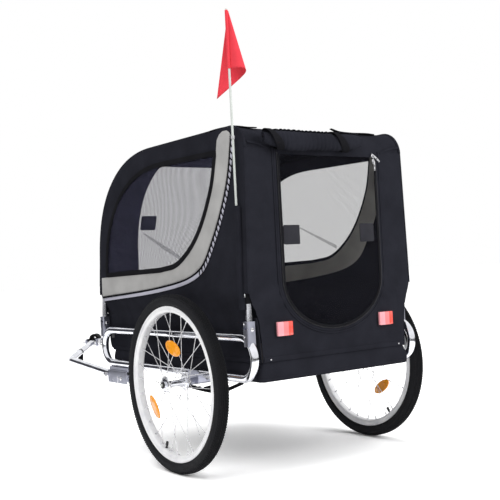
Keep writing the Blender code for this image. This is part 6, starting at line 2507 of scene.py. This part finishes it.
# The flag
@dataclass(frozen=True)
class Flag:
    """The pennant, its rod, and the pocket at the cabin's rear corner that the rod stands in."""

    x: float = -0.2865
    y: float = -0.25
    radius: float = 0.003
    pole_z: Point2 = (0.455, 1.205)
    hoist: Point2 = (1.052, 1.2)
    tilts: tuple[Point2, ...] = ((0, 0), (6, -3), (11.5, -2), (14, 3), (12, 9), (4, 13.5),
                                 (-10.5, 15))
    form: CabinForm = CabinForm()

    def ways(self) -> list[tuple[float, Vector]]:
        """The directions that the cloth takes from the hoist's top, as it goes round.

        Returns:
            For each, how far the cloth has turned by then in radians, and the direction.
        """
        right, behind = Vector((0.817, -0.577, 0)), Vector((0.577, 0.817, 0))
        tilts = smooth(self.tilts, 8)
        ways, turned_by = [], 0.0
        for i, (across, away) in enumerate(tilts):
            if i:
                turned_by += math.radians(math.dist(tilts[i - 1], tilts[i]))
            tilt = math.radians(math.hypot(across, away))
            side = (right * across + behind * away).normalized() if tilt else right
            ways.append((turned_by, side * math.sin(tilt) - Vector((0, 0, math.cos(tilt)))))
        return ways

    def pennant(self) -> tuple[Obj, float]:
        """The cloth as part of a cone round the hoist's top, and its length along the bottom."""
        ways, height = self.ways(), self.hoist[1] - self.hoist[0]
        top = Vector((self.x + 0.817 * self.radius * 1.4, self.y - 0.577 * self.radius * 1.4,
                      self.hoist[1]))
        rows, points, uvs, faces = 26, [], [], []
        for turned_by, way in ways:
            for j in range(rows + 1):
                share = 0.02 + 0.98 * j / rows
                reach = height / math.cos(turned_by) * share
                wave = 0.0012 * math.sin(turned_by * 9) * math.sin(share * 5) * share
                points.append(top + way * reach + Vector((0.577, 0.817, 0)) * wave)
                uvs.append((reach * math.sin(turned_by), reach * math.cos(turned_by)))
        for i in range(len(ways) - 1):
            for j in range(rows):
                a = i * (rows + 1) + j
                faces.append((a, a + 1, a + rows + 2, a + rows + 1))
        return mesh_of("red_pennant", points, faces, uvs), height * math.tan(ways[-1][0])

    def build(self, bench: Bench) -> None:
        """Makes the rod, the pennant, the sleeve on the rod and the pocket."""
        low, high = self.pole_z
        r = self.radius
        place = moved(self.x, self.y, 0)
        pole = lathe("flag_rod", [(0, high), (r * 0.5, high - 0.0002), (r, high - 0.002),
                                  (r, low), (0, low)], 20, place)
        bench.fit(pole, "flag", WHITE_ROD, "flag_pole")
        pennant, length = self.pennant()
        thickened(pennant, 0.0006, 0.0)
        bench.fit(pennant, "flag", FLAG_CLOTH, "flag", crease=180)
        foot, top = self.hoist
        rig.sheet(pennant, flat=(length, top - foot), area=length * (top - foot) / 2, held="hung",
                 rests_on=["flag_pole"])
        sleeve = lathe("flag_hoist_sleeve", [(r + 0.0001, top), (r + 0.0011, top - 0.001),
                                             (r + 0.0013, foot + 0.001), (r + 0.0001, foot)], 18,
                       place)
        bench.fit(sleeve, "flag", FLAG_CLOTH)
        collar = lathe("rod_collar", [(r, 0.884), (r + 0.0016, 0.8835), (r + 0.002, 0.88),
                                      (r + 0.0016, 0.8755), (r, 0.875)], 18, place)
        bench.fit(collar, "left_frame", GREY_ROD)
        self.pocket(bench)

    def pocket(self, bench: Bench) -> None:
        """A sewn sleeve that runs down the rear corner, bulged by the rod inside it."""
        top, low = 0.708, 0.448
        skin = -self.form.half(0.6)
        rows, columns = 36, 12

        def lay(share: float, rise: float) -> Vector:
            z = low + (top - low) * rise
            angle = math.pi * share
            flare = 1 + 0.08 * max(0.0, rise - 0.9) / 0.1
            x = skin - 0.0015 - max(0.0, self.form.half(z) - self.form.half(0.6))
            bulge = 0.0122 * math.sin(angle) ** 0.6 * flare
            return Vector((x - bulge, self.y - 0.0085 * math.cos(angle) * flare, z))

        sleeve = grid_mesh("flag_pocket", columns, rows, lay, (0.03, top - low))
        sleeve.data.flip_normals()
        thickened(sleeve, 0.001)
        bench.sew(sleeve, Side.LEFT, BLACK_CLOTH)
        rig.sheet(sleeve, flat=(0.03, top - low), held="stretched", rests_on=["left_side_panel"])


# The studio
@dataclass(frozen=True)
class Studio:
    """Camera, floor, world and lamps.

    Attributes:
        shift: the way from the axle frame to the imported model.
        lens: the focal length on a 36 mm sensor.
    """

    shift: Vector
    lens: float = 65.4
    camera_at: Point3 = (-1.5809, -2.1111, 0.5594)
    right: Point3 = (0.81314, -0.57973, -0.05208)
    up: Point3 = (0.03302, -0.04338, 0.99851)
    back: Point3 = (-0.58113, -0.81365, -0.01613)

    def build(self) -> None:
        """Makes the camera, the floor, the world and the lamps."""
        self.camera()
        self.floor()
        self.wall()
        self.world()
        for name, at, size, power in (("key", (-2.2, -1.6, 2.9), 2.2, 55),
                                      ("fill", (1.6, -3.0, 1.5), 2.4, 70),
                                      ("top", (0.2, 0.4, 3.4), 2.6, 46),
                                      ("front", (-0.6, 3.2, 1.8), 2.2, 22)):
            self.lamp(name, Vector(at), size, power)

    def camera(self) -> None:
        """A camera at the photograph's place and angle."""
        lens = bpy.data.cameras.new("camera")
        lens.sensor_width = 36.0
        lens.lens = self.lens
        camera = linked("camera", lens)
        camera.matrix_world = (Matrix.Translation(self.shift)
                               @ axes_at(self.camera_at, self.right, self.up, self.back))
        bpy.context.scene.camera = camera
        bpy.context.scene.view_settings.view_transform = "Standard"

    @staticmethod
    def painted(name: str, obj: Obj) -> tuple[NodeBoard, Node]:
        """Gives a piece of the stage a material, and returns its board and its shader."""
        made = bpy.data.materials.new(name)
        made.use_nodes = True
        obj.data.materials.append(made)
        return NodeBoard(made.node_tree), made.node_tree.nodes["Principled BSDF"]

    def floor(self) -> None:
        """A plain pale floor, white to the camera where no shadow falls on it."""
        size, pale, near, far = 30.0, 0.78, 1.45, 2.3
        floor = mesh_of("floor", [(-size, -size, 0), (size, -size, 0), (size, size, 0),
                                  (-size, size, 0)], [(0, 1, 2, 3)])
        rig.stage(floor)
        board, shader = self.painted("pale_floor", floor)
        ray = board.add("ShaderNodeLightPath")
        place = board.add("ShaderNodeTexCoord").outputs["Object"]
        length = board.add("ShaderNodeVectorMath", operation="LENGTH")
        board.put(length.inputs[0], place)
        reach = length.outputs["Value"]
        seen = board.tint(board.ramp(reach, 0.0, 1.0, 0.5, 5.0), (near,) * 3, (far,) * 3)
        plain = board.tint(self.seen_ray(board, ray), (pale,) * 3, seen)
        edge = board.ramp(reach, 1.35, 0.1, 1.9, 2.4)
        board.feed(shader, Roughness=0.9, Specular_IOR_Level=0.1,
                   Base_Color=board.tint(ray.outputs["Is Glossy Ray"], plain, edge))

    def wall(self) -> None:
        """A dark screen at one side that shows only as the dark streak along bright tubes."""
        line = arc((0, 0), 4.0, 109, 150, 12)
        count = len(line)
        wall = mesh_of("studio_wall", [(x, y, z) for z in (0.0, 6.0) for x, y in line],
                       [(i, i + 1, count + i + 1, count + i) for i in range(count - 1)])
        for ray in ("camera", "diffuse", "transmission", "shadow", "volume_scatter"):
            setattr(wall, f"visible_{ray}", False)
        board, shader = self.painted("dark_wall", wall)
        board.feed(shader, Base_Color=(0.05, 0.05, 0.06, 1.0), Roughness=1.0)
        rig.stage(wall)

    @staticmethod
    def seen_ray(board: NodeBoard, ray: Node) -> Socket:
        """1 on rays that show the backdrop itself: camera, glossy and transmission rays."""
        camera, glossy, through = (ray.outputs[f"Is {kind} Ray"]
                                   for kind in ("Camera", "Glossy", "Transmission"))
        return board.maths("MAXIMUM", board.maths("MAXIMUM", camera, glossy), through)

    def world(self) -> None:
        """A pale world that gives soft light, and is white where it is seen."""
        world = bpy.data.worlds.new("studio")
        bpy.context.scene.world = world
        world.use_nodes = True
        world.node_tree.nodes.clear()
        board = NodeBoard(world.node_tree)
        ray = board.add("ShaderNodeLightPath")
        mix = board.add("ShaderNodeMixShader", Fac=self.seen_ray(board, ray))
        for port, strength in zip(mix.inputs[1:3], (0.54, 1.0)):
            light = board.add("ShaderNodeBackground", Strength=strength, Color=(1, 1, 1, 1))
            board.put(port, light.outputs[0])
        board.add("ShaderNodeOutputWorld", Surface=mix.outputs[0])

    @staticmethod
    def lamp(name: str, at: Vector, size: float, power: float) -> None:
        """A soft square lamp turned to the trailer's middle."""
        light = bpy.data.lights.new(name, "AREA")
        light.shape = "SQUARE"
        light.size = size
        light.energy = power
        lamp = linked(name, light)
        turn = (at - Vector((0, 0, 0.5))).to_track_quat("Z", "Y")
        lamp.matrix_world = Matrix.Translation(at) @ turn.to_matrix().to_4x4()
        lamp.visible_glossy = False


def main() -> None:
    """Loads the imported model, builds the looks round it and notes the sizes."""
    logging.basicConfig(level=logging.INFO, format="%(message)s")
    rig.load()
    cad_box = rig.bounds()
    low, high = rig.box("axle_tube")
    middle = (low + high) / 2
    bench = Bench(shift=Vector((0, middle.y, middle.z - AXLE_Z)))
    Studio(shift=bench.shift).build()
    SideLoops().build(bench)
    SideFrames().build(bench)
    FoldBrackets().build(bench)
    AxleAndCrossTubes().build(bench)
    Wheel(Side.LEFT, 160.7, (-20, 131)).build(bench)
    Wheel(Side.RIGHT, -32.1, (113, -28)).build(bench)
    TowSide().build(bench)
    Hitch().build(bench)
    SidePanels().build(bench)
    RoofAndFront().build(bench)
    RearEnd().build(bench)
    TubAndFloor().build(bench)
    Flag().build(bench)
    sizes = {"cad": [list(corner) for corner in cad_box],
             "visual": [list(corner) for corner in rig.bounds()]}
    SIZE_FILE.write_text(json.dumps(sizes, indent=1))


if __name__ == "__main__":
    main()
